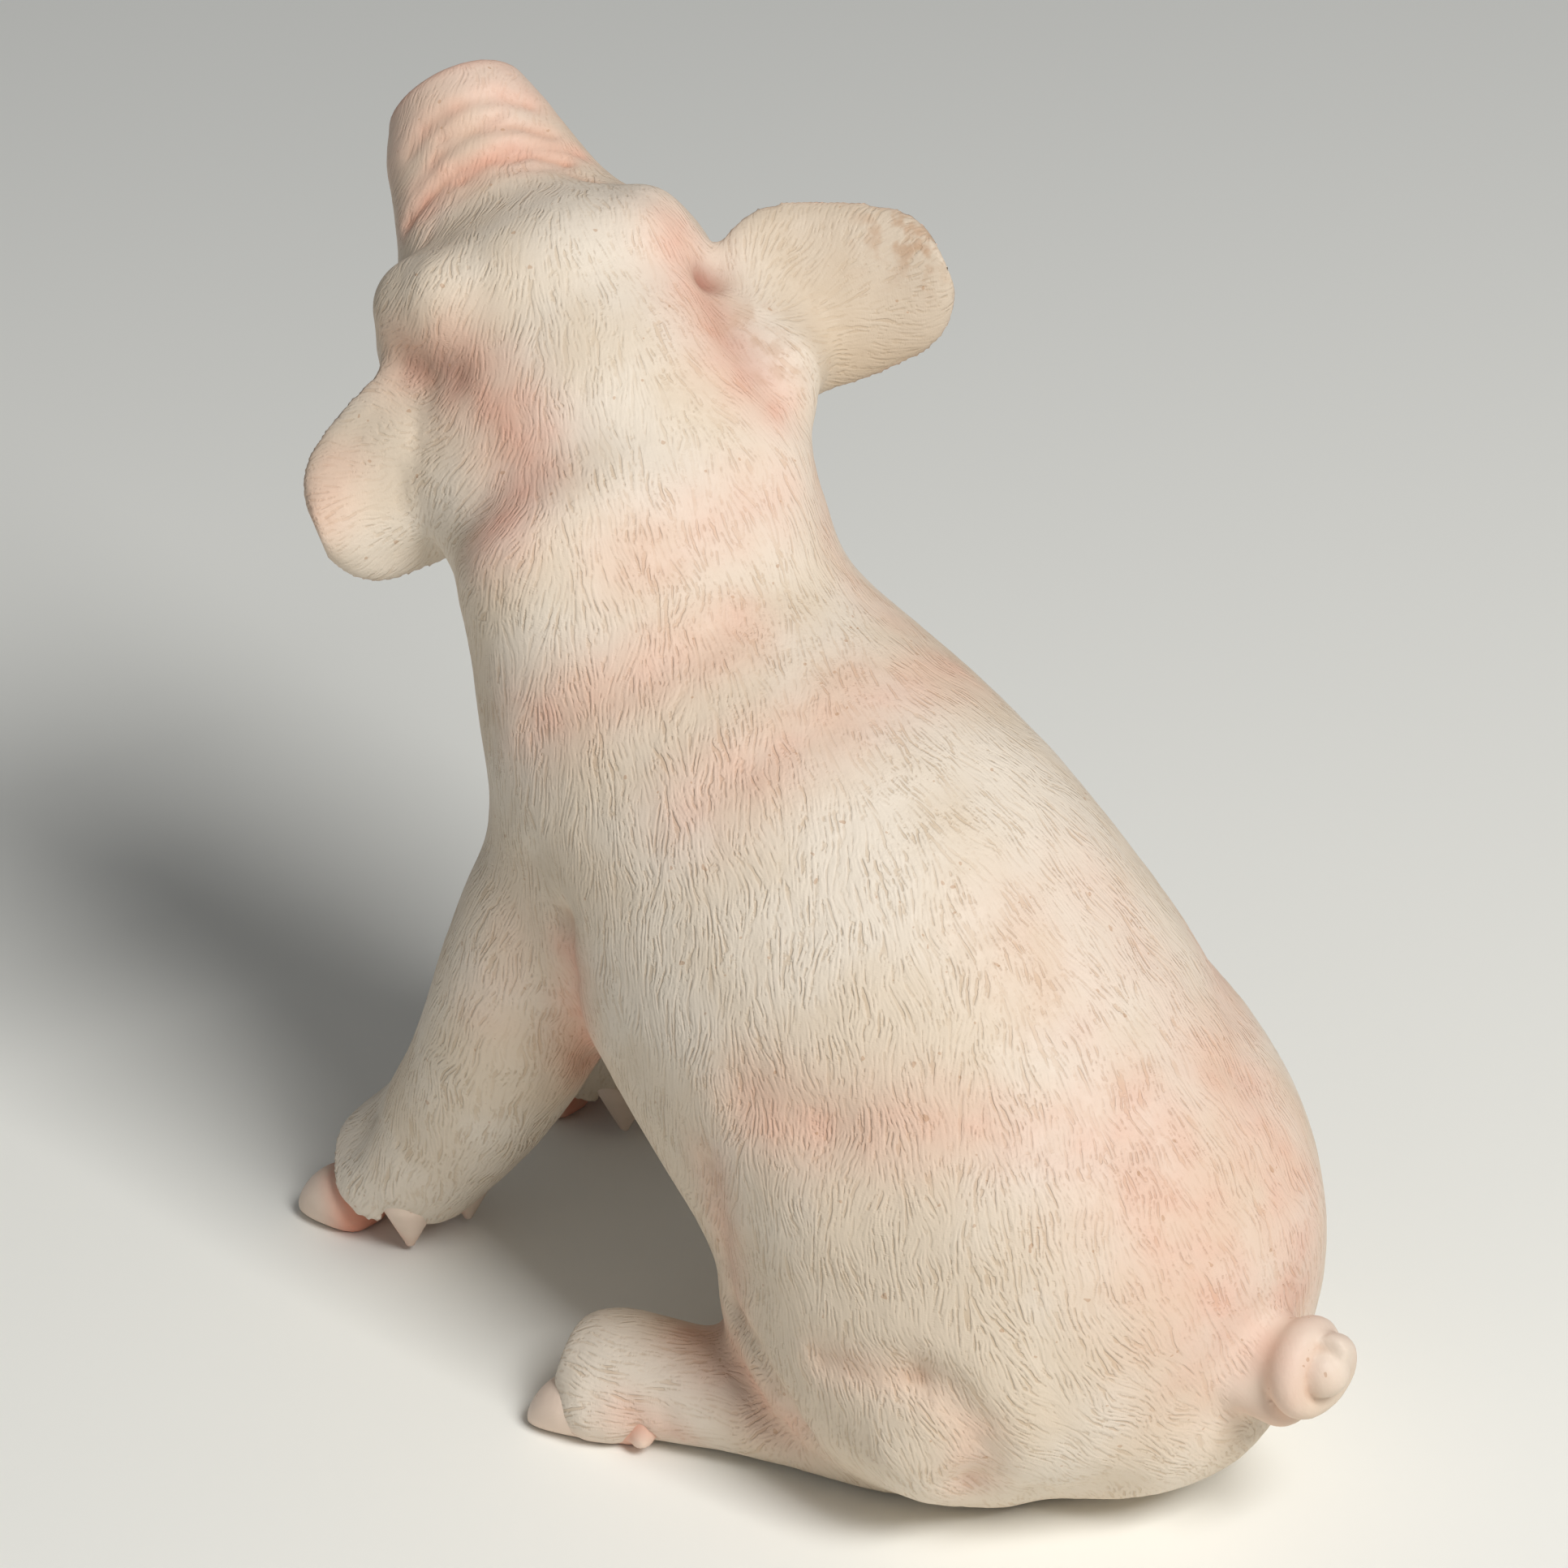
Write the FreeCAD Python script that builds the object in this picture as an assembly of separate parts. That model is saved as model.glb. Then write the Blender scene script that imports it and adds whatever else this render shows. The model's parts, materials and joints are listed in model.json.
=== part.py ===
"""A small seated piglet figure of cast resin, in millimetres.

The piglet faces -Y, its own left is +X and it sits on Z = 0. The origin lies in the flat seat, close to its front
edge and in the body's middle plane. The figure is put together from castings: the body, a head that is raised and
turned over the right shoulder, ears, legs, tail, claws and two eye beads. Each piece has a root that is let into its
neighbour, with room for glue round it, and nothing on it moves.
"""

import FreeCAD, Part
import math
import os

Vector = FreeCAD.Vector

# Body casting: overall reach from chest to tail root, from seat to nape, and across the belly
TORSO_DEPTH = 120.0
TORSO_HEIGHT = 100.0
TORSO_WIDTH = 76.0

# Hollow core of the body and the plug that closes it from below
CORE_WALL = 10.5
CORE_FLOOR = 8.0
CORE_TOP_SHARE = 0.62
PLUG_DIAMETER = 28.0
PLUG_THICKNESS = 4.0
PLUG_LEDGE = 2.5
PLUG_RECESS = 0.6

# Room for glue round every root, and how deep the legs are let into the body
GLUE_GAP = 0.15
LET_IN = 5.0

# Head casting: where the middle between the ears lies, as shares of the body's width, depth and height, and how the
# head is turned, leant and raised there
HEAD_PLACE_SHARES = (-0.0895, -0.3142, 1.0710)
HEAD_TURN = 33.0
HEAD_LEAN = 18.5
HEAD_RAISE = 35.0
HEAD_LENGTH = 49.0
HEAD_WIDTH = 41.0
HEAD_DEPTH = 38.0
HEAD_MIDDLE = 3.6

# Ears: how they are tilted and swept back, and how deep and how far forward they start in the head's side
EAR_LENGTH = 23.8
EAR_WIDTH = 25.0
EAR_THICKNESS = 6.0
EAR_CUP = 4.0
EAR_TILT = 33.0
EAR_SWEEP = 17.0
EAR_LET_IN = 3.0
EAR_FORWARD = 3.8

# Eye beads
EYE_DIAMETER = 5.4
EYE_MIDDLE = 4.9
EYE_LET_IN = 3.3
EYE_FORWARD = 22.5
EYE_LIFT = -1.5

# Front legs: how far the feet stand ahead of the chest, their spread as a share of the body's width, the shoulder's
# height as a share of the body's height, the thickness and where the cuff ends
FORELEG_AHEAD = 15.0
FORELEG_SPREAD_SHARE = 0.2526
SHOULDER_HEIGHT_SHARE = 0.62
FORELEG_WIDTH = 20.0
FORELEG_CUFF = 3.4

# Hind legs: a thigh that stands a little proud of the body's side, and a foot that lies on the ground and points
# outwards; their places are shares of the body's width and depth
THIGH_LENGTH = 43.0
THIGH_HEIGHT = 50.0
THIGH_WIDTH = 24.0
THIGH_PROUD = 1.3
THIGH_BACK_SHARE = 0.2417
FOOT_LENGTH = 47.0
FOOT_WIDTH = 15.0
FOOT_HEIGHT = 12.6
HEEL_SPREAD_SHARE = 0.25
HEEL_BACK_SHARE = 0.2775
FOOT_SPLAY = 17.8

# Claws: two on each foot side by side, with flat soles, and two small ones behind them that clear the ground, each
# set back from the end of the leg or foot
CLAW_LENGTH = 10.6
CLAW_WIDTH = 8.6
CLAW_HEIGHT = 8.2
CLAW_SPACING = 8.8
CLAW_SPLAY = 7.0
CLAW_FLAT = 0.4
FORE_CLAW_SETBACK = 7.1
DEWCLAW_LENGTH = 5.8
DEWCLAW_DIAMETER = 5.6
DEWCLAW_TIP = 2.8
DEWCLAW_RAISE = 0.3
DEWCLAW_SPACING = 8.6
FORE_DEWCLAW_SETBACK = 10.4
HIND_CLAW_SETBACK = 6.6
HIND_DEWCLAW_SETBACK = 11.5
HIND_DEWCLAW_SPREAD = 4.2
HIND_DEWCLAW_LIFT = 7.0
HIND_DEWCLAW_DROOP = 28.0

# Tail: a coil that stands off the rump, at a share of the body's height, with a root that bends into the rump
TAIL_THICKNESS = 3.8
TAIL_LOOP = 10.6
TAIL_INNER_LOOP = 5.6
TAIL_TURNS = 1.5
TAIL_PITCH = 3.5
TAIL_STANDOFF = 2.6
TAIL_LIFT_SHARE = 0.236
TAIL_RISE = 1.6
TAIL_ROOT = 8.0
TAIL_STEPS_PER_TURN = 20
TAIL_ROOT_STEPS = 5
TAIL_ROOT_PULL = 0.55

RING_POINTS = 16
EDGE_POINTS = 8
FLOOR_SIZE = 400.0
OUT_DIR = "parts"

# One row for each slice through the body, from the seat up to the neck: the back's place (Y, Z), the belly's place
# (Y, Z), half the width and a shift to the left, as shares of the body's depth, height and width.
TORSO_SHARES = (
    (0.400, 0.000, -0.015, 0.000, 0.240, 0.00),
    (0.475, 0.045, -0.028, 0.030, 0.300, 0.00),
    (0.518, 0.100, -0.040, 0.070, 0.370, 0.00),
    (0.530, 0.190, -0.055, 0.130, 0.430, 0.00),
    (0.538, 0.310, -0.080, 0.215, 0.448, 0.00),
    (0.498, 0.445, -0.145, 0.305, 0.457, 0.00),
    (0.388, 0.580, -0.222, 0.390, 0.447, 0.00),
    (0.250, 0.730, -0.305, 0.490, 0.420, 0.00),
    (0.078, 0.862, -0.365, 0.605, 0.375, 0.00),
    (-0.070, 0.940, -0.382, 0.720, 0.335, 0.00),
    (-0.140, 1.005, -0.390, 0.820, 0.318, 0.00),
    (-0.185, 1.060, -0.392, 0.900, 0.305, 0.01),
    (-0.250, 1.080, -0.375, 0.970, 0.200, -0.05),
)

# One row for each slice through the head, from the neck to the nose: place along the head, half the width, reach
# above, reach below and a shift to the left, as shares of the head's length, width, depth, depth and width.
HEAD_SHARES = (
    (-0.48, 0.335, 0.110, 0.530, 0.030),
    (-0.28, 0.480, 0.300, 0.580, -0.005),
    (-0.08, 0.490, 0.380, 0.580, 0.000),
    (0.12, 0.485, 0.420, 0.550, 0.010),
    (0.28, 0.510, 0.445, 0.510, 0.022),
    (0.40, 0.502, 0.440, 0.480, 0.030),
    (0.51, 0.428, 0.340, 0.440, 0.032),
    (0.61, 0.320, 0.245, 0.390, 0.035),
    (0.75, 0.257, 0.215, 0.315, 0.027),
    (0.88, 0.237, 0.225, 0.275, 0.018),
    (0.96, 0.237, 0.238, 0.262, 0.015),
    (1.00, 0.217, 0.222, 0.240, 0.010),
)

# One row for each slice through an ear, from the root to the tip: place along the ear, reach of the front edge, reach
# of the rear edge, thickness and cup, as shares of the ear's length, width, width, thickness and cup.
EAR_SHARES = (
    (-0.20, 0.400, 0.360, 1.00, 0.0),
    (0.00, 0.480, 0.390, 0.95, 0.3),
    (0.20, 0.590, 0.345, 0.80, 0.7),
    (0.42, 0.610, 0.315, 0.65, 1.0),
    (0.63, 0.580, 0.265, 0.55, 1.0),
    (0.82, 0.530, 0.185, 0.48, 0.9),
    (0.94, 0.460, 0.060, 0.42, 0.7),
    (1.00, 0.320, -0.060, 0.32, 0.5),
)

# One row for each slice through a front leg, from the shoulder to the cuff: places sideways and forward as shares of
# those of the leg's end, height as a share of the shoulder's height, and radius as a share of the leg's width.
FORELEG_SHARES = (
    (0.66, 0.41, 1.00, 0.62),
    (0.87, 0.49, 0.79, 0.62),
    (0.95, 0.57, 0.60, 0.56),
    (0.98, 0.66, 0.42, 0.50),
    (0.97, 0.77, 0.27, 0.47),
    (0.99, 0.86, 0.17, 0.47),
    (1.00, 0.93, 0.10, 0.43),
)

# One row for each level slice through a thigh, from the floor up: height, inward shift, half the width and half the
# length, as shares of the thigh's height, width, width and length; the last share moves it back along its length.
THIGH_SHARES = (
    (0.02, 0.34, 0.26, 0.28, -0.02),
    (0.10, 0.18, 0.37, 0.37, -0.02),
    (0.24, 0.05, 0.46, 0.46, -0.01),
    (0.42, 0.00, 0.50, 0.50, 0.00),
    (0.62, 0.06, 0.46, 0.46, 0.01),
    (0.82, 0.20, 0.36, 0.36, 0.06),
    (0.96, 0.36, 0.20, 0.20, 0.12),
)

# One row for each slice through a hind foot, from the heel to the cuff: place along the foot, half the width and
# half the height, as shares of the foot's length, width and height.
FOOT_SHARES = (
    (-0.06, 0.22, 0.24),
    (0.02, 0.40, 0.44),
    (0.16, 0.48, 0.50),
    (0.40, 0.48, 0.47),
    (0.64, 0.50, 0.51),
    (0.84, 0.52, 0.56),
    (0.95, 0.49, 0.50),
    (1.00, 0.40, 0.40),
)

# One row for each slice through a claw, from the root to the tip: place along the claw, half the width and half the
# height, as shares of the claw's length, width and height.
CLAW_SHARES = (
    (-0.36, 0.36, 0.36),
    (0.00, 0.46, 0.46),
    (0.32, 0.50, 0.50),
    (0.62, 0.45, 0.44),
    (0.86, 0.31, 0.30),
    (1.00, 0.12, 0.12),
)


def smooth_ring(points):
    curve = Part.BSplineCurve()
    curve.interpolate(Points=points, PeriodicFlag=True)
    return Part.Wire(curve.toShape())


def ring(centre, across, rise, half_width, above, below):
    """A closed smooth ring with its own reach above and below its widest line."""
    points = []
    for step in range(RING_POINTS):
        angle = 2.0 * math.pi * step / RING_POINTS
        height = above if math.sin(angle) > 0.0 else below
        points.append(centre + across * (half_width * math.cos(angle)) + rise * (height * math.sin(angle)))
    return smooth_ring(points)


def skin(rings):
    """A solid whose side runs smoothly through the rings."""
    return Part.makeLoft(rings, True, False)


def tube_rings(centres, radii, across):
    """Round rings square to a line through the centres; across is carried along the line without a twist."""
    rings = []
    for index, centre in enumerate(centres):
        before = centres[max(index - 1, 0)]
        after = centres[min(index + 1, len(centres) - 1)]
        along = (after - before).normalize()
        rise = along.cross(across).normalize()
        across = rise.cross(along).normalize()
        rings.append(ring(centre, across, rise, radii[index], radii[index], radii[index]))
    return rings


def cut_below(shape, height):
    corner = Vector(-FLOOR_SIZE / 2.0, -FLOOR_SIZE / 2.0, height - FLOOR_SIZE)
    return shape.cut(Part.makeBox(FLOOR_SIZE, FLOOR_SIZE, FLOOR_SIZE, corner))


def mirrored(shape):
    return shape.mirror(Vector(0, 0, 0), Vector(1, 0, 0))


def both_sides(shape):
    return [shape, mirrored(shape)]


def on_side(shape, side):
    """The shape itself for the left side, 1, or its mirror image for the right side, -1."""
    return shape if side > 0.0 else mirrored(shape)


def body_form(shrink):
    """The body's outside, or with shrink the same form drawn in all round."""
    rings = []
    for back_y, back_z, belly_y, belly_z, half_width, side in TORSO_SHARES:
        back = Vector(side * TORSO_WIDTH, back_y * TORSO_DEPTH, back_z * TORSO_HEIGHT)
        belly = Vector(side * TORSO_WIDTH, belly_y * TORSO_DEPTH, belly_z * TORSO_HEIGHT)
        rise = back - belly
        reach = rise.Length / 2.0 - shrink
        rise.normalize()
        width = half_width * TORSO_WIDTH - shrink
        rings.append(ring((back + belly) / 2.0, Vector(1, 0, 0), rise, width, reach, reach))
    return skin(rings)


def chest_reach():
    return max(-row[2] for row in TORSO_SHARES) * TORSO_DEPTH


def rump_reach():
    return max(row[0] for row in TORSO_SHARES) * TORSO_DEPTH


def side_reach():
    return max(row[4] for row in TORSO_SHARES) * TORSO_WIDTH


def seat_middle():
    return Vector(0, (TORSO_SHARES[0][0] + TORSO_SHARES[0][2]) / 2.0 * TORSO_DEPTH, 0)


def body_core():
    """The hollow, with its mouth in the seat and a ledge for the plug."""
    form = cut_below(body_form(CORE_WALL), CORE_FLOOR)
    top = Vector(-FLOOR_SIZE / 2.0, -FLOOR_SIZE / 2.0, CORE_TOP_SHARE * TORSO_HEIGHT)
    form = form.cut(Part.makeBox(FLOOR_SIZE, FLOOR_SIZE, FLOOR_SIZE, top))
    seat = seat_middle()
    mouth = Part.makeCylinder(PLUG_DIAMETER / 2.0 - PLUG_LEDGE, CORE_FLOOR + CORE_WALL, seat)
    rebate = Part.makeCylinder(PLUG_DIAMETER / 2.0 + GLUE_GAP, PLUG_RECESS + PLUG_THICKNESS + GLUE_GAP, seat)
    return form.fuse(mouth).fuse(rebate)


def base_plug():
    plug = Part.makeCylinder(PLUG_DIAMETER / 2.0, PLUG_THICKNESS, seat_middle() + Vector(0, 0, PLUG_RECESS))
    return plug.makeChamfer(GLUE_GAP, plug.Edges)


def head_placement():
    turn = FreeCAD.Rotation(Vector(0, 0, 1), -HEAD_TURN)
    lean = FreeCAD.Rotation(Vector(0, 1, 0), HEAD_LEAN)
    lift = FreeCAD.Rotation(Vector(1, 0, 0), -HEAD_RAISE)
    side, forward, height = HEAD_PLACE_SHARES
    place = Vector(side * TORSO_WIDTH, forward * TORSO_DEPTH, height * TORSO_HEIGHT)
    return FreeCAD.Placement(place, turn * lean * lift)


def set_on_head(shape):
    moved = shape.copy()
    moved.Placement = head_placement() * moved.Placement
    return moved


def head_form(grow):
    """The head in its own frame: it faces -Y there and is level."""
    rings = []
    for along, half_width, above, below, side in HEAD_SHARES:
        centre = Vector(HEAD_MIDDLE + side * HEAD_WIDTH, -along * HEAD_LENGTH, 0)
        width = half_width * HEAD_WIDTH + grow
        rings.append(
            ring(centre, Vector(1, 0, 0), Vector(0, 0, 1), width, above * HEAD_DEPTH + grow, below * HEAD_DEPTH + grow)
        )
    return skin(rings)


def ear_ring(centre, width_line, normal, front, rear, thickness, cup):
    """A thin curved slice: it bulges towards the normal between its front and rear edges."""
    half_width = (front + rear) / 2.0
    middle = centre + width_line * ((front - rear) / 2.0)
    edges = []
    for first in (0, EDGE_POINTS):
        points = []
        for step in range(EDGE_POINTS + 1):
            angle = math.pi * (first + step) / EDGE_POINTS
            across = math.cos(angle)
            lift = thickness / 2.0 * math.sin(angle) - cup * across * across
            points.append(middle + width_line * (half_width * across) + normal * lift)
        curve = Part.BSplineCurve()
        curve.interpolate(Points=points)
        edges.append(curve.toShape())
    return Part.Wire(edges)


def ear_form(side, grow):
    """An ear in the head's own frame."""
    tilt = math.radians(EAR_TILT)
    sweep = math.radians(EAR_SWEEP)
    width_line = Vector(0, -math.cos(tilt), math.sin(tilt))
    normal = Vector(0, math.sin(tilt), math.cos(tilt))
    axis = Vector(math.cos(sweep), math.sin(sweep), 0)
    start = Vector(HEAD_WIDTH / 2.0 - EAR_LET_IN, -EAR_FORWARD, 0)
    rings = []
    for along, front, rear, thickness, cup in EAR_SHARES:
        centre = start + axis * (along * EAR_LENGTH)
        before = front * EAR_WIDTH + grow
        behind = rear * EAR_WIDTH + grow
        deep = thickness * EAR_THICKNESS + 2.0 * grow
        rings.append(ear_ring(centre, width_line, normal, before, behind, deep, cup * EAR_CUP))
    return on_side(skin(rings), side)


def eye_bead(side, grow):
    """An eye in the head's own frame."""
    centre = Vector(HEAD_WIDTH / 2.0 - EYE_LET_IN + side * EYE_MIDDLE, -EYE_FORWARD, EYE_LIFT)
    return on_side(Part.makeSphere(EYE_DIAMETER / 2.0 + grow, centre), side)


def foreleg_end():
    """The point over which the left front leg ends."""
    return Vector(FORELEG_SPREAD_SHARE * TORSO_WIDTH, -chest_reach() - FORELEG_AHEAD, 0)


def foreleg_form(grow):
    """The left front leg, from inside the shoulder to the end of its cuff."""
    end = foreleg_end()
    shoulder = SHOULDER_HEIGHT_SHARE * TORSO_HEIGHT
    centres = []
    radii = []
    for side, forward, height, radius in FORELEG_SHARES:
        centres.append(Vector(side * end.x, forward * end.y, height * shoulder))
        radii.append(radius * FORELEG_WIDTH + grow)
    leg = skin(tube_rings(centres, radii, Vector(1, 0, 0)))
    return cut_below(leg, FORELEG_CUFF - grow)


def foot_direction():
    splay = math.radians(FOOT_SPLAY)
    return Vector(math.sin(splay), -math.cos(splay), 0)


def foot_point(place):
    """The point that lies this far along the left hind foot's middle line."""
    heel = Vector(HEEL_SPREAD_SHARE * TORSO_WIDTH, HEEL_BACK_SHARE * TORSO_DEPTH, FOOT_HEIGHT / 2.0)
    return heel + foot_direction() * place


def thigh_form(grow):
    spread = side_reach() + THIGH_PROUD - THIGH_WIDTH / 2.0
    middle = THIGH_BACK_SHARE * TORSO_DEPTH
    slices = []
    for height, inward, half_width, half_length, shift in THIGH_SHARES:
        centre = Vector(spread - inward * THIGH_WIDTH, middle + shift * THIGH_LENGTH, height * THIGH_HEIGHT)
        length = half_length * THIGH_LENGTH + grow
        slices.append(ring(centre, Vector(1, 0, 0), Vector(0, 1, 0), half_width * THIGH_WIDTH + grow, length, length))
    return skin(slices)


def hind_leg_form(grow):
    """The left thigh and hind foot in one, flat where they rest."""
    along = foot_direction()
    across = along.cross(Vector(0, 0, 1))
    rings = []
    for place, half_width, half_height in FOOT_SHARES:
        width = half_width * FOOT_WIDTH + grow
        half = half_height * FOOT_HEIGHT + grow
        rings.append(ring(foot_point(place * FOOT_LENGTH), across, Vector(0, 0, 1), width, half, half))
    return cut_below(thigh_form(grow).fuse(skin(rings)), 0.0)


def claw(start, heading, length, grow):
    """One claw with a flat sole, from its root inside the foot; heading is an angle from -Y towards +X."""
    angle = math.radians(heading)
    along = Vector(math.sin(angle), -math.cos(angle), 0)
    across = along.cross(Vector(0, 0, 1))
    rings = []
    for place, half_width, half_height in CLAW_SHARES:
        half = half_height * CLAW_HEIGHT
        centre = start + along * (place * length + grow * math.copysign(1.0, place))
        centre.z = half - CLAW_FLAT
        rings.append(ring(centre, across, Vector(0, 0, 1), half_width * CLAW_WIDTH + grow, half + grow, half + grow))
    return cut_below(skin(rings), 0.0)


def dewclaw(start, direction, grow):
    """A small cone with a round end."""
    tip = DEWCLAW_TIP / 2.0 + grow
    cone = Part.makeCone(DEWCLAW_DIAMETER / 2.0 + grow, tip, DEWCLAW_LENGTH, start, direction)
    return cone.fuse(Part.makeSphere(tip, start + direction * DEWCLAW_LENGTH))


def fore_claws(grow):
    """The left front foot's four claws."""
    end = foreleg_end()
    claws = []
    for side in (-1.0, 1.0):
        start = end + Vector(side * CLAW_SPACING / 2.0, FORE_CLAW_SETBACK, 0)
        claws.append(claw(start, side * CLAW_SPLAY + CLAW_SPLAY / 2.0, CLAW_LENGTH, grow))
        lift = DEWCLAW_LENGTH + DEWCLAW_TIP / 2.0 + DEWCLAW_RAISE
        back = end + Vector(side * DEWCLAW_SPACING / 2.0, FORE_DEWCLAW_SETBACK, lift)
        claws.append(dewclaw(back, Vector(0, 0, -1), grow))
    return claws


def hind_claws(grow):
    """The left hind foot's four claws."""
    claws = []
    along = foot_direction()
    across = Vector(math.cos(math.radians(FOOT_SPLAY)), math.sin(math.radians(FOOT_SPLAY)), 0)
    droop = math.radians(HIND_DEWCLAW_DROOP)
    for side in (-1.0, 1.0):
        start = foot_point(FOOT_LENGTH - HIND_CLAW_SETBACK) + across * (side * CLAW_SPACING / 2.0)
        claws.append(claw(start, FOOT_SPLAY + side * CLAW_SPLAY, CLAW_LENGTH, grow))
        back = foot_point(FOOT_LENGTH - HIND_DEWCLAW_SETBACK) + across * (side * HIND_DEWCLAW_SPREAD)
        back.z = HIND_DEWCLAW_LIFT
        outwards = across * (side * math.sin(droop)) - Vector(0, 0, math.cos(droop))
        claws.append(dewclaw(back, outwards, grow))
    return claws


def tail_form(grow):
    """A shrinking coil that backs away from the rump, and before it a root that bends into the rump."""
    start = rump_reach() + TAIL_STANDOFF
    height = TAIL_LIFT_SHARE * TORSO_HEIGHT
    centres = []
    first = -TAIL_ROOT_STEPS
    last = int(TAIL_TURNS * TAIL_STEPS_PER_TURN)
    for step in range(first, last + 1):
        angle = 2.0 * math.pi * step / TAIL_STEPS_PER_TURN
        share = max(step, 0) / last
        depth = (min(step, 0) / first) ** 2
        radius = (TAIL_LOOP * (1.0 - share) + TAIL_INNER_LOOP * share) / 2.0 * (1.0 - TAIL_ROOT_PULL * depth)
        back = start + TAIL_PITCH * TAIL_TURNS * share - TAIL_ROOT * depth
        lift = height + TAIL_RISE * share
        centres.append(Vector(-radius * math.sin(angle), back, lift - radius * math.cos(angle)))
    radii = [TAIL_THICKNESS / 2.0 + grow] * len(centres)
    return skin(tube_rings(centres, radii, Vector(0, 0, 1)))


def write(name, shape):
    if not shape.isValid():
        raise RuntimeError(name + " is not a sound solid")
    shape.exportStep(os.path.join(OUT_DIR, name + ".step"))
    print(name, len(shape.Solids), "solids", round(shape.Volume / 1000.0, 2), "cm3")


def main():
    os.makedirs(OUT_DIR, exist_ok=True)
    inner = body_form(LET_IN)
    inner_socket = body_form(LET_IN + GLUE_GAP)

    torso = body_form(0.0).cut(set_on_head(head_form(GLUE_GAP)))
    for form in (foreleg_form, hind_leg_form):
        for pocket in both_sides(form(GLUE_GAP).cut(inner_socket)):
            torso = torso.cut(pocket)
    torso = torso.cut(tail_form(GLUE_GAP)).cut(body_core())
    write("torso", torso)
    write("base_plug", base_plug())
    write("tail", tail_form(0.0))

    head = head_form(0.0)
    for side, name in ((1.0, "left"), (-1.0, "right")):
        head = head.cut(ear_form(side, GLUE_GAP)).cut(eye_bead(side, GLUE_GAP))
        write(name + "_ear", set_on_head(ear_form(side, 0.0)))
        write(name + "_eye", set_on_head(eye_bead(side, 0.0)))
    write("head", set_on_head(head))

    for name, form, claws in (("fore", foreleg_form, fore_claws), ("hind", hind_leg_form, hind_claws)):
        leg = form(0.0).cut(inner).cut(Part.makeCompound(claws(GLUE_GAP)))
        leg_name = "foreleg" if name == "fore" else "hind_leg"
        toes = Part.makeCompound(claws(0.0))
        for side, leg_piece, claw_piece in zip(("left_", "right_"), both_sides(leg), both_sides(toes)):
            write(side + leg_name, leg_piece)
            write(side + name + "_claws", claw_piece)


main()
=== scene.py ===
"""Looks of the seated piglet: a painted, tooled resin skin over the cast solids.

The castings are joined softly into one form on a grid, as their seams are filled on the real figure. The form
is moved by folds and tufts, coloured by layers on its points, and split again into one piece for each
casting. Lengths are in millimetres until a mesh is made.
"""
import json
import math
import bpy
import numpy as np
import openvdb as vdb
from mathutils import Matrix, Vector
from mathutils.bvhtree import BVHTree

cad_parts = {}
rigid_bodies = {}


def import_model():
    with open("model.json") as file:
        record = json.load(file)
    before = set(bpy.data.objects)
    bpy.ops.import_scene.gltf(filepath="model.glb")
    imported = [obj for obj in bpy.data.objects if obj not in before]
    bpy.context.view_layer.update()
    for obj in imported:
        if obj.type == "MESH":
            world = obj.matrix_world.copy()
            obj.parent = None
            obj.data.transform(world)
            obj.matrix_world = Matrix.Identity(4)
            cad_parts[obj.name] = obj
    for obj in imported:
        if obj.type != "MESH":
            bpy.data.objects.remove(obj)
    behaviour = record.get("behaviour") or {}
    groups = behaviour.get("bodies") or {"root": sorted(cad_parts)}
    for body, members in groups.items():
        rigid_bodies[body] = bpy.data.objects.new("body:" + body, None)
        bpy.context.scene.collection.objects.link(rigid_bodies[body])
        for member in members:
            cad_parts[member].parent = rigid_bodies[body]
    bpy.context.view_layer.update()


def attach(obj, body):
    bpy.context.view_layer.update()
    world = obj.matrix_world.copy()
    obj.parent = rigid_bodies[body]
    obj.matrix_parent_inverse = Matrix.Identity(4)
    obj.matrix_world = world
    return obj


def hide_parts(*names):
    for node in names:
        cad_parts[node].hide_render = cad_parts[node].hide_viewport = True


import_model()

MM = 0.001
SIDES = (("left", 1.0), ("right", -1.0))
MIRROR = np.array((-1.0, 1.0, 1.0))

# The skin's grid: its cell, its two corners, and how far from a node, or from claws, distances are known
STEP = 0.5
LOW = np.array((-48.0, -92.0, -4.0))
HIGH = np.array((48.0, 84.0, 148.0))
BAND = 9.0
CLAW_BAND = 3.0

# The photograph's view: azimuth, elevation, distance, scale at the target and the picture's size in pixels
AZIMUTH = math.radians(132.0)
ELEVATION = math.radians(28.0)
DISTANCE = 700.0
MM_PER_PIXEL = 0.095
PICTURE = 1932.0
TARGET = np.array((-1.3, -10.0, 70.0))
BACK = np.array((
    math.sin(AZIMUTH) * math.cos(ELEVATION), -math.cos(AZIMUTH) * math.cos(ELEVATION), math.sin(ELEVATION)))
RIGHT = np.array((-BACK[1], BACK[0], 0.0)) / math.hypot(BACK[0], BACK[1])
UP = np.cross(BACK, RIGHT)
CAMERA_PLACE = TARGET + BACK * DISTANCE
FOCUS = DISTANCE / MM_PER_PIXEL


def turn(axis, degrees):
    """A turn about the X, Y or Z axis, which is 0, 1 or 2."""
    c, s = math.cos(math.radians(degrees)), math.sin(math.radians(degrees))
    i, j = [(1, 2), (2, 0), (0, 1)][axis]
    m = np.eye(3)
    m[i, i], m[i, j], m[j, i], m[j, j] = c, -s, s, c
    return m


# The head's own frame, as in the solids' source: it faces -Y there, and its place follows the body's size
TORSO_WIDTH = 76.0
TORSO_DEPTH = 120.0
HEAD_PLACE = np.array((-0.0895 * TORSO_WIDTH, -0.3142 * TORSO_DEPTH, 107.10))
HEAD_TURN = turn(2, -33.0) @ turn(1, 18.5) @ turn(0, -35.0)

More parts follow.
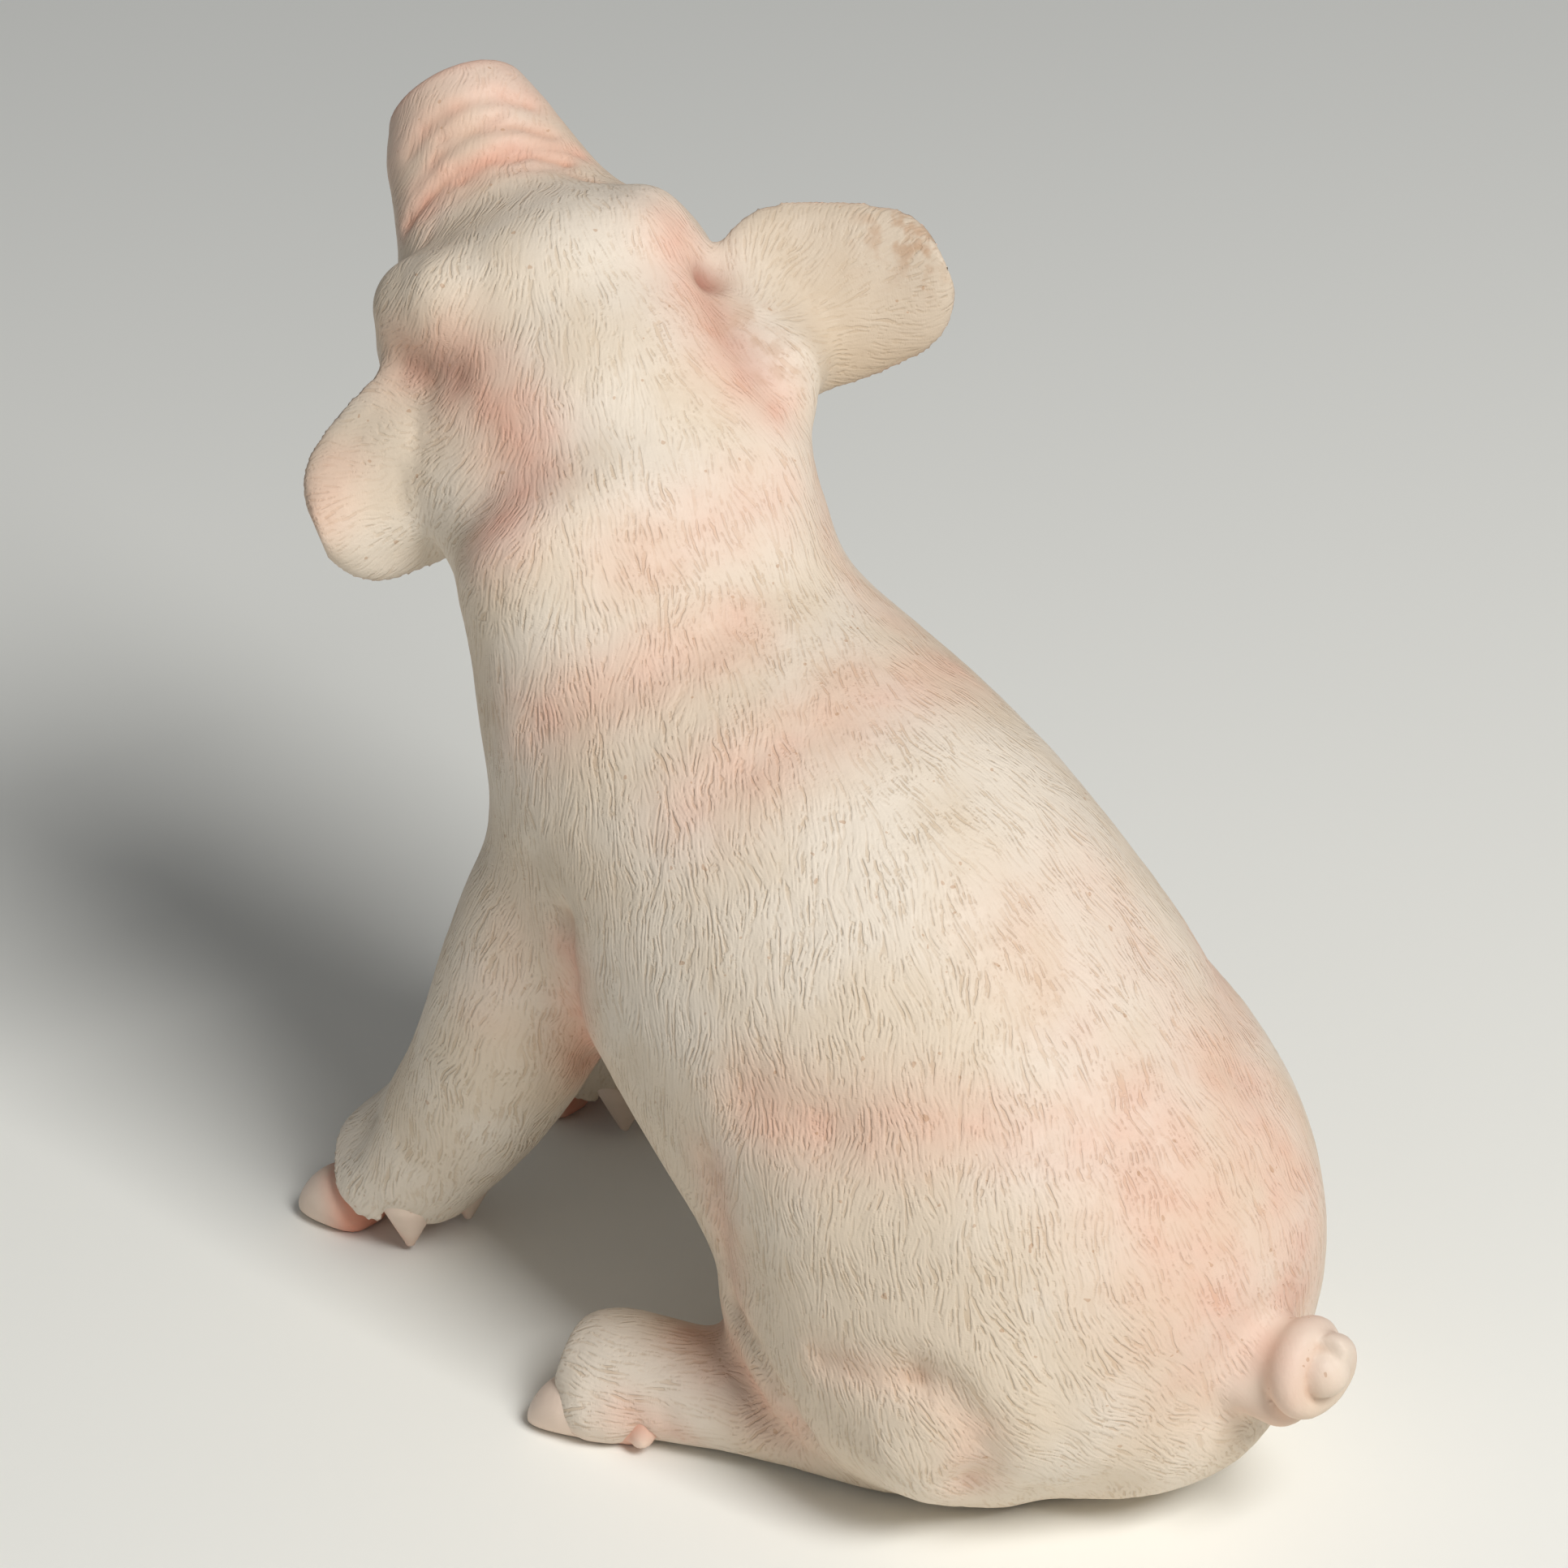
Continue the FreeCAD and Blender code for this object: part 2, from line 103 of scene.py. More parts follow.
# Places in that frame: the middles of the face and of the snout, and how far forward and up the eyes are
FACE_MIDDLE = 4.6
SNOUT_MIDDLE = 4.2
EYE_FORWARD = -22.5
EYE_UP = -1.5

# Each side of the face: its sign, the eye's place across, the brow bump's two ends, its radii and reach, and
# how full the cheek is
FACE_SIDES = (
    (1.0, 22.1, (18.9, -21.0, 8.0), (16.3, -18.5, 11.5), (4.9, 4.4, 4.0), 0.76),
    (-1.0, -12.3, (-9.6, -19.0, 7.0), (-7.6, -16.5, 10.2), (4.2, 3.8, 3.0), 0.64),
)

# Each eye's lids: from and to which angle, how far out and how thick, and how far round the eye they both lie
LIDS = ((15.0, 200.0, 0.6, 0.85), (200.0, 375.0, 0.2, 0.65))
LID_LENGTH, LID_HEIGHT = 3.3, 2.9

# The snout's rim: half its width and height, and how far forward and up its middle is
RIM_WIDTH, RIM_HEIGHT = 7.5, 7.2
RIM_FORWARD, RIM_UP = -47.9, -0.3

# Half of the mouth's groove, from its middle: how far out from the snout's middle, forward and up
MOUTH = ((0.3, -48.0, -9.4), (6.2, -44.0, -8.0), (9.2, -37.0, -7.6))

# What fills the crease behind each ear's root: places and radii
EAR_ROOTS = (
    ((19.2, -4.3, 3.3, 3.4), (20.1, 0.9, 1.5, 4.7), (21.9, 5.9, -1.5, 3.6)),
    ((-16.2, -3.6, 2.4, 3.0), (-16.6, 1.2, 0.8, 4.2), (-15.4, 5.0, -0.9, 2.8)),
)

# Feet: how far out the front ones' middle is, where the hind heel is, and which way a hind foot points
FORE_FOOT_OUT = 19.2
HEEL_OUT, HEEL_BACK = 19.0, 33.3
FOOT_OUT, FOOT_FORWARD = 0.3057, 0.9521

# The plug in the seat: its middle along Y, and its rebate's radius and height
PLUG_BACK = 23.1
REBATE_RADIUS = 14.15
REBATE_TOP = 4.75


def on_head(*point):
    """A point that is given in the head's own frame."""
    return HEAD_PLACE + HEAD_TURN @ np.array(point, float)


def on_face(sign, middle, out, forward, up):
    """A point so far out from a middle of the head, on the left, 1, or right, -1."""
    return on_head(middle + sign * out, forward, up)


def in_head(points):
    """Points as they are in the head's own frame."""
    return (points - HEAD_PLACE) @ HEAD_TURN


def across_head(point):
    """The point's mirror image in the snout's middle plane."""
    x, y, z = in_head(point)
    return on_head(2.0 * SNOUT_MIDDLE - x, y, z)


def hind_foot(sign, along, across, height):
    """A point of the left, 1, or right, -1, hind foot: how far from the heel, how far out and how high."""
    out = HEEL_OUT + FOOT_OUT * along + FOOT_FORWARD * across
    back = HEEL_BACK - FOOT_FORWARD * along + FOOT_OUT * across
    return np.array((sign * out, back, height))


def unit(vectors):
    return vectors / np.maximum(np.linalg.norm(vectors, axis=-1, keepdims=True), 1e-9)


def ramp(values, start, end):
    """0 before the start, 1 after the end, and a smooth rise between them."""
    t = np.clip((values - start) / (end - start), 0.0, 1.0)
    return t * t * (3.0 - 2.0 * t)


# ---- the skin's form, as distances on a grid ----
XF = vdb.createLinearTransform(voxelSize=STEP)
LOW_CELL = np.round(LOW / STEP).astype(int)
LOW = LOW_CELL * STEP
CELLS = np.ceil((HIGH - LOW) / STEP).astype(int)


def node_points(name):
    mesh = bpy.data.objects[name].data
    points = np.empty(len(mesh.vertices) * 3, np.float32)
    mesh.vertices.foreach_get("co", points)
    return points.reshape(-1, 3) / MM


def node_field(name, band=BAND):
    """A node's signed distances on the part of the grid around it."""
    mesh = bpy.data.objects[name].data
    points = node_points(name)
    mesh.calc_loop_triangles()
    corners = np.empty(len(mesh.loop_triangles) * 3, np.int32)
    mesh.loop_triangles.foreach_get("vertices", corners)
    grid = vdb.FloatGrid.createLevelSetFromPolygons(
        points.astype(np.float64), triangles=corners.reshape(-1, 3).astype(np.uint32), transform=XF,
        halfWidth=band / STEP)
    low = np.maximum(np.floor((points.min(0) - band) / STEP).astype(int), LOW_CELL)
    high = np.minimum(np.ceil((points.max(0) + band) / STEP).astype(int), LOW_CELL + CELLS)
    values = np.empty(high - low, np.float32)
    grid.copyToArray(values, ijk=tuple(int(c) for c in low))
    return low - LOW_CELL, values


def part_of(field, low, values):
    """The cells of a field on which a node's values lie."""
    return field[tuple(slice(a, a + n) for a, n in zip(low, values.shape))]


def cells(move):
    """A move in mm as whole cells of the grid."""
    return np.round(np.array(move) / STEP).astype(int)


def smooth_min(one, other, reach):
    """The smaller of two distances, with a fillet where they are within the reach of each other."""
    over = np.maximum(reach - np.abs(one - other), 0.0) / reach
    return np.minimum(one, other) - over * over * (reach / 4.0)


def join(field, low, values, reach):
    part = part_of(field, low, values)
    part[...] = smooth_min(part, values, reach)


def local(low, high):
    """The cells between two corners: their slices and coordinates."""
    a = np.clip(np.floor((np.minimum(low, high) - LOW) / STEP).astype(int), 0, CELLS)
    b = np.clip(np.ceil((np.maximum(low, high) - LOW) / STEP).astype(int), 0, CELLS)
    slices = tuple(slice(i, j) for i, j in zip(a, b))
    axes = [(LOW[n] + STEP * np.arange(a[n], b[n])).astype(np.float32) for n in range(3)]
    return slices, axes


def rod(start, end, start_radius, end_radius, margin):
    """Distances from a round rod between two points."""
    start, end = np.array(start, float), np.array(end, float)
    reach = max(start_radius, end_radius) + margin
    slices, (x, y, z) = local(np.minimum(start, end) - reach, np.maximum(start, end) + reach)
    along = end - start
    px, py, pz = x[:, None, None] - start[0], y[None, :, None] - start[1], z[None, None, :] - start[2]
    t = np.clip((px * along[0] + py * along[1] + pz * along[2]) / max(along @ along, 1e-9), 0.0, 1.0)
    away = np.sqrt((px - t * along[0]) ** 2 + (py - t * along[1]) ** 2 + (pz - t * along[2]) ** 2)
    return slices, away - (start_radius + (end_radius - start_radius) * t)


def add(field, start, end, start_radius, end_radius, reach):
    """Joins a rod to the form."""
    slices, values = rod(start, end, start_radius, end_radius, BAND)
    field[slices] = smooth_min(field[slices], values, reach)


def carve(field, start, end, start_radius, end_radius, reach):
    """Takes a rod out of the form."""
    slices, values = rod(start, end, start_radius, end_radius, reach * 2.0)
    field[slices] = -smooth_min(-field[slices], values, reach)


def follow(tool, field, knots, radius, reach):
    """Adds or carves a rod of one radius from each knot to the next."""
    for a, b in zip(knots[:-1], knots[1:]):
        tool(field, a, b, radius, radius, reach)


def blurred(field, spread):
    """The field averaged three times over boxes, to about this spread in mm."""
    radius = max(int(round(spread / STEP)), 1)
    wide = 2 * radius + 1
    for _ in range(3):
        for axis in range(3):
            pad = [(0, 0)] * 3
            pad[axis] = (radius + 1, radius)
            total = np.cumsum(np.pad(field, pad, mode="edge"), axis=axis, dtype=np.float32)
            n = total.shape[axis]
            field = np.take(total, range(wide, n), axis=axis) - np.take(total, range(n - wide), axis=axis)
            field /= wide
    return field


def closed_holes(field, low, high):
    """The empty cells between two corners that no straight line along an axis reaches from outside."""
    empty = field > 0.0
    seen = np.zeros(field.shape, bool)
    for axis in range(3):
        seen |= np.logical_and.accumulate(empty, axis=axis)
        seen |= np.flip(np.logical_and.accumulate(np.flip(empty, axis), axis=axis), axis)
    slices, _ = local(np.array(low), np.array(high))
    inside = np.zeros(field.shape, bool)
    inside[slices] = True
    return empty & ~seen & inside


def shape_face(field):
    """Brow bumps, lids, cheeks, jowls, nostrils, mouth, the snout's rim and the cleft under it."""
    for sign, eye_out, brow_from, brow_to, brow, cheek in FACE_SIDES:
        add(field, on_head(*brow_from), on_head(*brow_to), *brow)
        for start, stop, out, thick in LIDS:
            lid = [on_face(sign, eye_out, out, EYE_FORWARD - LID_LENGTH * math.cos(a),
                           EYE_UP + LID_HEIGHT * math.sin(a))
                   for a in map(math.radians, np.linspace(start, stop, 8))]
            follow(add, field, lid, thick, 1.2)
        add(field, on_face(sign, eye_out, -1.0, -18.5, 3.0), on_face(sign, eye_out, -0.6, -14.0, 4.0),
            3.0, 3.2, 3.0)
        add(field, on_face(sign, SNOUT_MIDDLE, 5.4, -41.0, -0.5),
            on_face(sign, SNOUT_MIDDLE, 8.0, -27.0, -0.5), 7.5 * cheek, 9.2 * cheek, 3.0)
        add(field, on_face(sign, FACE_MIDDLE, 12.5, -17.0, -13.0),
            on_face(sign, FACE_MIDDLE, 11.0, -25.0, -11.0), 6.0, 5.0, 5.0)
        carve(field, on_face(sign, SNOUT_MIDDLE, 3.7, -50.5, 1.2),
              on_face(sign, SNOUT_MIDDLE, 3.3, -45.5, 1.8), 1.9, 1.2, 1.0)
        follow(carve, field, [on_face(sign, SNOUT_MIDDLE, *knot) for knot in MOUTH], 0.75, 1.0)
    rim = [on_head(SNOUT_MIDDLE + RIM_WIDTH * math.cos(a), RIM_FORWARD, RIM_UP + RIM_HEIGHT * math.sin(a))
           for a in np.linspace(0, math.tau, 33)]
    follow(add, field, rim, 0.9, 1.4)
    carve(field, on_head(SNOUT_MIDDLE, -50.2, 3.0), on_head(SNOUT_MIDDLE, -50.2, -7.0), 1.1, 0.8, 1.6)


def claws_alone(name, move=(0.0, 0.0, 0.0)):
    """A set of claws on the whole grid, moved by whole cells."""
    field = np.full(CELLS, CLAW_BAND, np.float32)
    low, values = node_field(name, CLAW_BAND)
    part_of(field, low + cells(move), values)[...] = values
    return field


def fore_claws(name, sign, skin):
    """Two claws that are moved in and forward and cut off behind, each with a pointed dewclaw behind it.

    The fur's cuff is carved to fit round the claws.
    """
    field = claws_alone(name, (-sign * 1.0, -1.8, 0.0))
    slices, (_, y, z) = local((-32.0, -74.0, -2.0), (32.0, -42.0, 14.0))
    # They grow by 0.35 mm, end at the cuff and stand on flat soles
    field[slices] = -smooth_min(0.35 - field[slices], -(y + 56.6)[None, :, None], 3.0)
    field[slices] = np.maximum(field[slices], (0.05 - z)[None, None, :])
    room = np.maximum(field[slices] - 0.15, (z - 9.5)[None, None, :])
    skin[slices] = -smooth_min(-skin[slices], room, 1.0)
    for across, back in ((-5.0, -49.0), (4.2, -49.9)):
        out = sign * (FORE_FOOT_OUT + across)
        add(field, (out, back, 7.2), (out, back, 1.5), 3.6, 0.8, 0.4)
    return field


def hind_claws(name, sign, skin):
    """Two claws, and two dewclaws behind them that are cut off above the ground.

    The fur covers the outer dewclaw's root, and has a notch beside it.
    """
    field = claws_alone(name)
    slices, (x, y, z) = local((-48.0, -16.0, -2.0), (48.0, 16.0, 14.0))
    along = FOOT_OUT * (sign * x - HEEL_OUT)[:, None, None] - FOOT_FORWARD * (y - HEEL_BACK)[None, :, None]
    # The cut lies 1.2 mm above the ground, and leaves the claws in front of it as they are
    cut = (1.2 - z)[None, None, :] - 10.0 * ramp(along, 36.5, 37.5)
    field[slices] = -smooth_min(-field[slices], -cut, 0.9)
    add(skin, hind_foot(sign, 34.8, 4.3, 6.2), hind_foot(sign, 34.4, 5.0, 5.0), 2.8, 2.3, 1.5)
    carve(skin, hind_foot(sign, 37.7, 14.0, 1.4), hind_foot(sign, 37.7, 7.2, 1.4), 2.0, 1.4, 1.5)
    return field


# Body, legs and head in one, with the torso's core filled
whole = np.full(CELLS, BAND, np.float32)
low, values = node_field("torso")
part_of(whole, low, values)[...] = values
join(whole, *node_field("base_plug", 3.0), 1.0)
whole[closed_holes(whole, (-28.0, -32.0, 4.0), (28.0, 58.0, 66.0))] = -BAND
for side, _ in SIDES:
    join(whole, *node_field(side + "_hind_leg"), 5.0)
    join(whole, *node_field(side + "_foreleg"), 5.0)
join(whole, *node_field("head"), 8.0)

# Feet and eye sockets keep their crisp edges when the rest is smoothed
FEET = [foot for sign in (-1.0, 1.0)
        for foot in (np.array((sign * FORE_FOOT_OUT, -62.0, 3.0)), hind_foot(sign, 44.0, 0.0, 4.0))]
EYES = [on_head(eye_out, EYE_FORWARD, EYE_UP) for _, eye_out, *_ in FACE_SIDES]
crisp = np.zeros(whole.shape, np.float32)
for centre, reach in [(foot, 15.0) for foot in FEET] + [(eye, 6.0) for eye in EYES]:
    slices, away = rod(centre, centre, 0.0, 0.0, reach)
    crisp[slices] = np.maximum(crisp[slices], 1.0 - ramp(away, reach * 0.72, reach))
soft = blurred(whole, 1.2)
whole = soft + (whole - soft) * crisp

shape_face(whole)
for side, _ in SIDES:
    join(whole, *node_field(side + "_ear", 5.0), 2.2)
for root in EAR_ROOTS:
    for a, b in zip(root[:-1], root[1:]):
        add(whole, on_head(*a[:3]), on_head(*b[:3]), a[3], b[3], 6.0)

# The tail stands 1 mm out from its casting; one rod fills the coil's middle and one its root
low, values = node_field("tail", 4.0)
join(whole, low + cells((0.0, 1.0, 0.0)), values, 2.2)
add(whole, (0.0, 66.5, 24.0), (0.0, 72.6, 25.2), 3.2, 3.0, 0.6)
add(whole, (0.6, 59.5, 23.0), (0.3, 65.4, 24.2), 7.4, 4.8, 3.0)

claw_fields = {}
for side, sign in SIDES:
    for which, make in (("fore", fore_claws), ("hind", hind_claws)):
        name = side + "_" + which + "_claws"
        claw_fields[name] = make(name, sign, whole)

# Fur that overhangs the hind claws
for sign in (-1.0, 1.0):
    for edge in (-1.0, 1.0):
        start, end = hind_foot(sign, 40.5, edge * 4.3, 4.4), hind_foot(sign, 42.3, edge * 4.6, 4.3)
        add(whole, start, end, 4.9, 4.9, 2.0)

# The seat is flat, and the plug's rebate is open from below
slices, (x, y, z) = local(LOW, (HIGH[0], HIGH[1], 8.0))
whole[slices] = np.maximum(whole[slices], (0.03 - z)[None, None, :])
from_plug = np.hypot(x[:, None, None], y[None, :, None] - PLUG_BACK) - REBATE_RADIUS
rebate = np.maximum(from_plug, z[None, None, :] - REBATE_TOP)
whole[slices] = np.maximum(whole[slices], -rebate)


def polygons(field):
    """The points and quads of the surface at which a field is 0."""
    grid = vdb.FloatGrid()
    grid.transform = XF
    grid.copyFromArray(np.ascontiguousarray(field), ijk=tuple(int(c) for c in LOW_CELL))
    points, _, quads = grid.convertToPolygons(isovalue=0.0, adaptivity=0.0)
    return points.astype(np.float64), quads.astype(np.int64)


def main_body(points, quads):
    """Drops what isn't joined to the largest body."""
    label = np.arange(len(points))
    while True:
        low_label = label[quads].min(1)
        new = label.copy()
        for corner in range(4):
            np.minimum.at(new, quads[:, corner], low_label)
        new = new[new]
        if (new == label).all():
            break
        label = new
    kept = np.bincount(label).argmax()
    quads = quads[label[quads[:, 0]] == kept]
    used, inverse = np.unique(quads, return_inverse=True)
    return points[used], inverse.reshape(-1, 4)


def sample(field, points, low=0):
    """The field's values at points, between cells."""
    q = (points - LOW) / STEP - low
    limit = np.array(field.shape) - 2
    i = np.clip(np.floor(q).astype(int), 0, limit)
    f = np.clip(q - i, 0.0, 1.0)
    total = np.zeros(len(points))
    for corner in np.ndindex(2, 2, 2):
        weight = np.prod(np.where(corner, f, 1.0 - f), axis=1)
        total += weight * field[i[:, 0] + corner[0], i[:, 1] + corner[1], i[:, 2] + corner[2]]
    return total


def normals_of(points, quads):
    one = points[quads[:, 2]] - points[quads[:, 0]]
    other = points[quads[:, 3]] - points[quads[:, 1]]
    cross = np.cross(one, other)
    total = [np.bincount(quads.ravel(), np.repeat(cross[:, n], 4), len(points)) for n in range(3)]
    return unit(np.stack(total, 1))


def outward(points, quads, field):
    """The quads turned so that their normals point out of the form."""
    normals = normals_of(points, quads)
    rise = sample(field, points + normals * STEP) - sample(field, points - normals * STEP)
    return quads if np.median(rise) > 0.0 else quads[:, ::-1]


class Net:
    """Averages over the quads' edges."""

    def __init__(self, quads, count):
        self.a = quads.ravel()
        self.b = np.roll(quads, -1, axis=1).ravel()
        self.count = count
        self.degree = np.bincount(self.a, minlength=count) + np.bincount(self.b, minlength=count)

    def mean(self, values):
        columns = values.reshape(self.count, -1)
        out = [np.bincount(self.a, c[self.b], self.count) + np.bincount(self.b, c[self.a], self.count)
               for c in columns.T]
        return (np.stack(out, 1) / np.maximum(self.degree, 1)[:, None]).reshape(values.shape)

    def smooth(self, values, rounds):
        for _ in range(rounds):
            values = 0.5 * values + 0.5 * self.mean(values)
        return values


base, quads = main_body(*polygons(whole))
quads = outward(base, quads, whole)
net = Net(quads, len(base))
normals = unit(net.smooth(normals_of(base, quads), 2))

# ---- which casting each point belongs to ----
SKIN_NODES = ("torso", "head", "left_ear", "right_ear", "left_foreleg", "right_foreleg", "left_hind_leg",
              "right_hind_leg", "tail")


def from_casting(name):
    """Each point's distance from a casting, with 5 mm more where it's well outside the casting's box."""
    low, values = node_field(name, 5.0)
    corners = node_points(name)
    middle, half = (corners.max(0) + corners.min(0)) / 2.0, np.ptp(corners, axis=0) / 2.0
    outside = (np.abs(base - middle) > half + 4.0).any(1)
    return sample(values, base, low) + 5.0 * outside


label = np.stack([from_casting(name) for name in SKIN_NODES], 1).argmin(1)


def belongs(names, rounds):
    """How far each point belongs to some castings, with a border that the rounds of averaging soften."""
    chosen = np.isin(label, [SKIN_NODES.index(name) for name in names])
    return ramp(net.smooth(chosen.astype(float), rounds), 0.2, 0.8)


is_head = belongs(["head"], 12)
is_ear = belongs(["left_ear", "right_ear"], 6)
is_tail = belongs(["tail"], 6)
is_foreleg = belongs(["left_foreleg", "right_foreleg"], 12)

# ---- places named by the photograph's pixels ----
tree = BVHTree.FromPolygons([Vector(p) for p in base], quads.tolist())


def ray(pixel):
    """The way from the camera through a pixel."""
    return unit(RIGHT * (pixel[0] - PICTURE / 2) / FOCUS - UP * (pixel[1] - PICTURE / 2) / FOCUS - BACK)


def skin_at(pixels):
    """The points of the skin that the pixels show."""
    hits = [tree.ray_cast(Vector(CAMERA_PLACE), Vector(ray(pixel)))[0] for pixel in pixels]
    return [np.array(hit) for hit in hits if hit is not None]


def pixels_of(points):
    away = points - CAMERA_PLACE
    depth = -(away @ BACK)
    across, up = FOCUS * (away @ RIGHT) / depth, FOCUS * (away @ UP) / depth
    return np.stack([PICTURE / 2 + across, PICTURE / 2 - up], 1)


def near(line, width, mirror):
    """How near each point is to a line of pixels on the skin: 1 on it, and falling off over the width in mm.

    Its mirror image across the body or the head counts as well, where mirror names one of them.
    """
    line = skin_at(line)
    lines = [line]
    if mirror == "body":
        lines.append([p * MIRROR for p in line])
    if mirror == "head":
        lines.append([across_head(p) for p in line])
    total = np.zeros(len(base))
    for knots in lines:
        best = np.full(len(base), 1e9)
        for a, b in zip(knots, knots[1:] or knots):
            along = b - a
            t = np.clip((base - a) @ along / max(along @ along, 1e-9), 0.0, 1.0)
            best = np.minimum(best, ((base - a - t[:, None] * along) ** 2).sum(1))
        total = np.maximum(total, np.exp(-best / width ** 2))
    return total


# Folds: pixels, width and depth in mm, and which mirror image the hidden side has
FOLDS = (
    ([(690, 1135), (700, 1200), (707, 1255), (730, 1312)], 2.2, 1.1, "body"),
    ([(660, 1060), (690, 1135)], 3.0, 0.5, "body"),
    ([(925, 1358), (965, 1378), (1010, 1392)], 4.0, 0.9, "body"),
    ([(1010, 1392), (1100, 1390), (1240, 1395), (1385, 1415)], 4.2, 0.6, "body"),
    ([(872, 1440), (888, 1490), (893, 1560), (900, 1609)], 2.0, 0.6, "body"),
    ([(900, 1609), (931, 1660), (966, 1726), (987, 1762)], 2.0, 0.9, "body"),
    ([(1014, 1677), (1076, 1705), (1126, 1702)], 2.0, 0.6, "body"),
    ([(1126, 1702), (1165, 1715), (1200, 1760), (1208, 1795), (1192, 1830)], 3.0, 1.1, "body"),
    ([(660, 890), (730, 862), (820, 820), (900, 778)], 2.6, 0.4, ""),
    ([(760, 700), (860, 660), (960, 600)], 2.8, 0.4, ""),
    ([(860, 985), (940, 935), (1030, 890)], 2.8, 0.35, ""),
    ([(500, 455), (530, 464), (556, 462)], 2.6, 0.9, ""),
    ([(866, 338), (878, 372), (900, 420), (945, 480)], 2.8, 0.5, ""),
    ([(872, 342)], 1.9, 0.9, ""),
    ([(1196, 1842), (1235, 1847), (1300, 1850), (1360, 1842)], 4.5, 1.7, "body"),
    ([(1000, 320), (1080, 345)], 7.0, 1.6, ""),
    ([(425, 1400), (445, 1370)], 5.0, 1.9, "body"),
    ([(520, 160), (545, 140), (579, 124), (633, 123), (655, 130)], 0.9, 0.4, "head"),
    ([(543, 172), (591, 158), (636, 153), (681, 166)], 0.9, 0.45, "head"),
    ([(500, 275), (512, 258), (532, 235), (563, 207), (605, 193), (652, 186), (700, 197)], 1.1, 0.8, "head"),
    ([(570, 222), (620, 207), (690, 205), (735, 222)], 1.0, 0.35, "head"),
)
# Swellings in the same form
SWELLS = (
    ([(1105, 1800), (1150, 1838)], 4.8, 1.5, "body"),
    ([(1250, 1740), (1330, 1760)], 8.0, 0.6, "body"),
    ([(985, 1480), (960, 1560)], 9.0, 0.8, "body"),
    ([(1290, 1000), (1240, 960)], 12.0, 0.6, "body"),
    ([(640, 1010), (620, 930)], 6.0, 0.5, "body"),
    ([(500, 545), (512, 590), (518, 635)], 4.2, 1.5, ""),
    ([(560, 180), (640, 170)], 1.3, 0.25, "head"),
    ([(560, 140), (620, 138)], 1.3, 0.22, "head"),
)
lift = np.zeros(len(base))
for line, width, depth, mirror in FOLDS:
    lift -= depth * near(line, width, mirror)
for line, width, height, mirror in SWELLS:
    lift += height * near(line, width, mirror)
head_points = in_head(base)
along_head = -head_points[:, 1]

# The snout narrows behind its rim, and the mouth's groove ends in a shallow fold
side_facing = 1.0 - np.clip(normals @ (HEAD_TURN @ np.array((0.0, -1.0, 0.0))), 0.0, 1.0)
lift -= 0.5 * is_head * ramp(along_head, 43.0, 49.5) * side_facing
from_mouth = head_points[:, 2] - np.interp(along_head, (26.0, 31.0, 37.0, 44.0), (-7.2, -8.2, -7.6, -8.0))
lift -= (0.9 * is_head * np.exp(-(from_mouth / 0.8) ** 2) * ramp(along_head, 26.0, 30.0)
         * (1.0 - ramp(along_head, 36.0, 40.0)))

# The snout's wrinkles, which are painted too
crease = np.zeros(len(base))
for line, width, depth, mirror in FOLDS:
    if mirror == "head":
        crease = np.maximum(crease, near(line, width + 0.5, mirror) * min(1.0, depth * 1.3))

# ---- which way the hair lies ----
# Pixels and the strokes' lean there, in degrees from straight down towards the right, and how many pixels far
# each one counts
HAIR_SPREAD = 62.0
HAIR = (
    (620, 800, 0), (640, 1000, 0), (600, 1150, 4), (650, 1200, 14), (690, 1270, 18), (700, 900, 0),
    (760, 1100, 2), (800, 1250, 0), (850, 1400, 0), (900, 800, 0), (950, 950, 5), (1000, 1100, 5),
    (1000, 1250, 3), (1000, 1420, 6), (930, 1540, 4), (1000, 1650, 10), (1050, 1760, 28),
    (1150, 1700, 14), (1150, 1500, 5), (1150, 1300, 5), (1150, 1150, 10), (1020, 900, 12),
    (1000, 780, 16), (1100, 850, 45), (1172, 901, 62), (1244, 955, 62), (1316, 1035, 57),
    (1280, 1093, 42), (1136, 955, 32), (1345, 1154, 40), (1250, 1100, 18), (1350, 1250, 20),
    (1400, 1150, 42), (1450, 1300, 34), (1300, 1450, 10), (1450, 1500, 20), (1530, 1400, 32),
    (1600, 1500, 25), (1570, 1620, 20), (1400, 1650, 25), (1300, 1700, 34), (1250, 1800, 62),
    (1350, 1800, 76), (1450, 1760, 66), (1530, 1720, 50), (1350, 1600, 15), (900, 1700, -50),
    (800, 1700, -68), (537, 291, -38), (615, 275, -18), (589, 364, -8), (511, 406, -28), (694, 301, 5),
    (772, 275, 32), (825, 301, 45), (746, 380, 20), (825, 380, 35), (694, 458, 5), (772, 484, 20),
    (851, 484, 35), (929, 484, 50), (641, 406, -3), (615, 537, 4), (720, 563, 8), (798, 563, 22),
    (851, 563, 30), (929, 563, 35), (981, 589, 30), (694, 668, 0), (798, 668, 8), (903, 668, 15),
    (981, 668, 22), (1034, 694, 35), (560, 160, -15), (620, 150, -8), (660, 190, 10), (530, 240, -30),
    (500, 250, -40), (540, 545, -50), (560, 600, -55), (570, 645, -50),
)


def tangent(vectors):
    """The vectors laid on the skin, at unit length."""
    return unit(vectors - (vectors * normals).sum(1, keepdims=True) * normals)


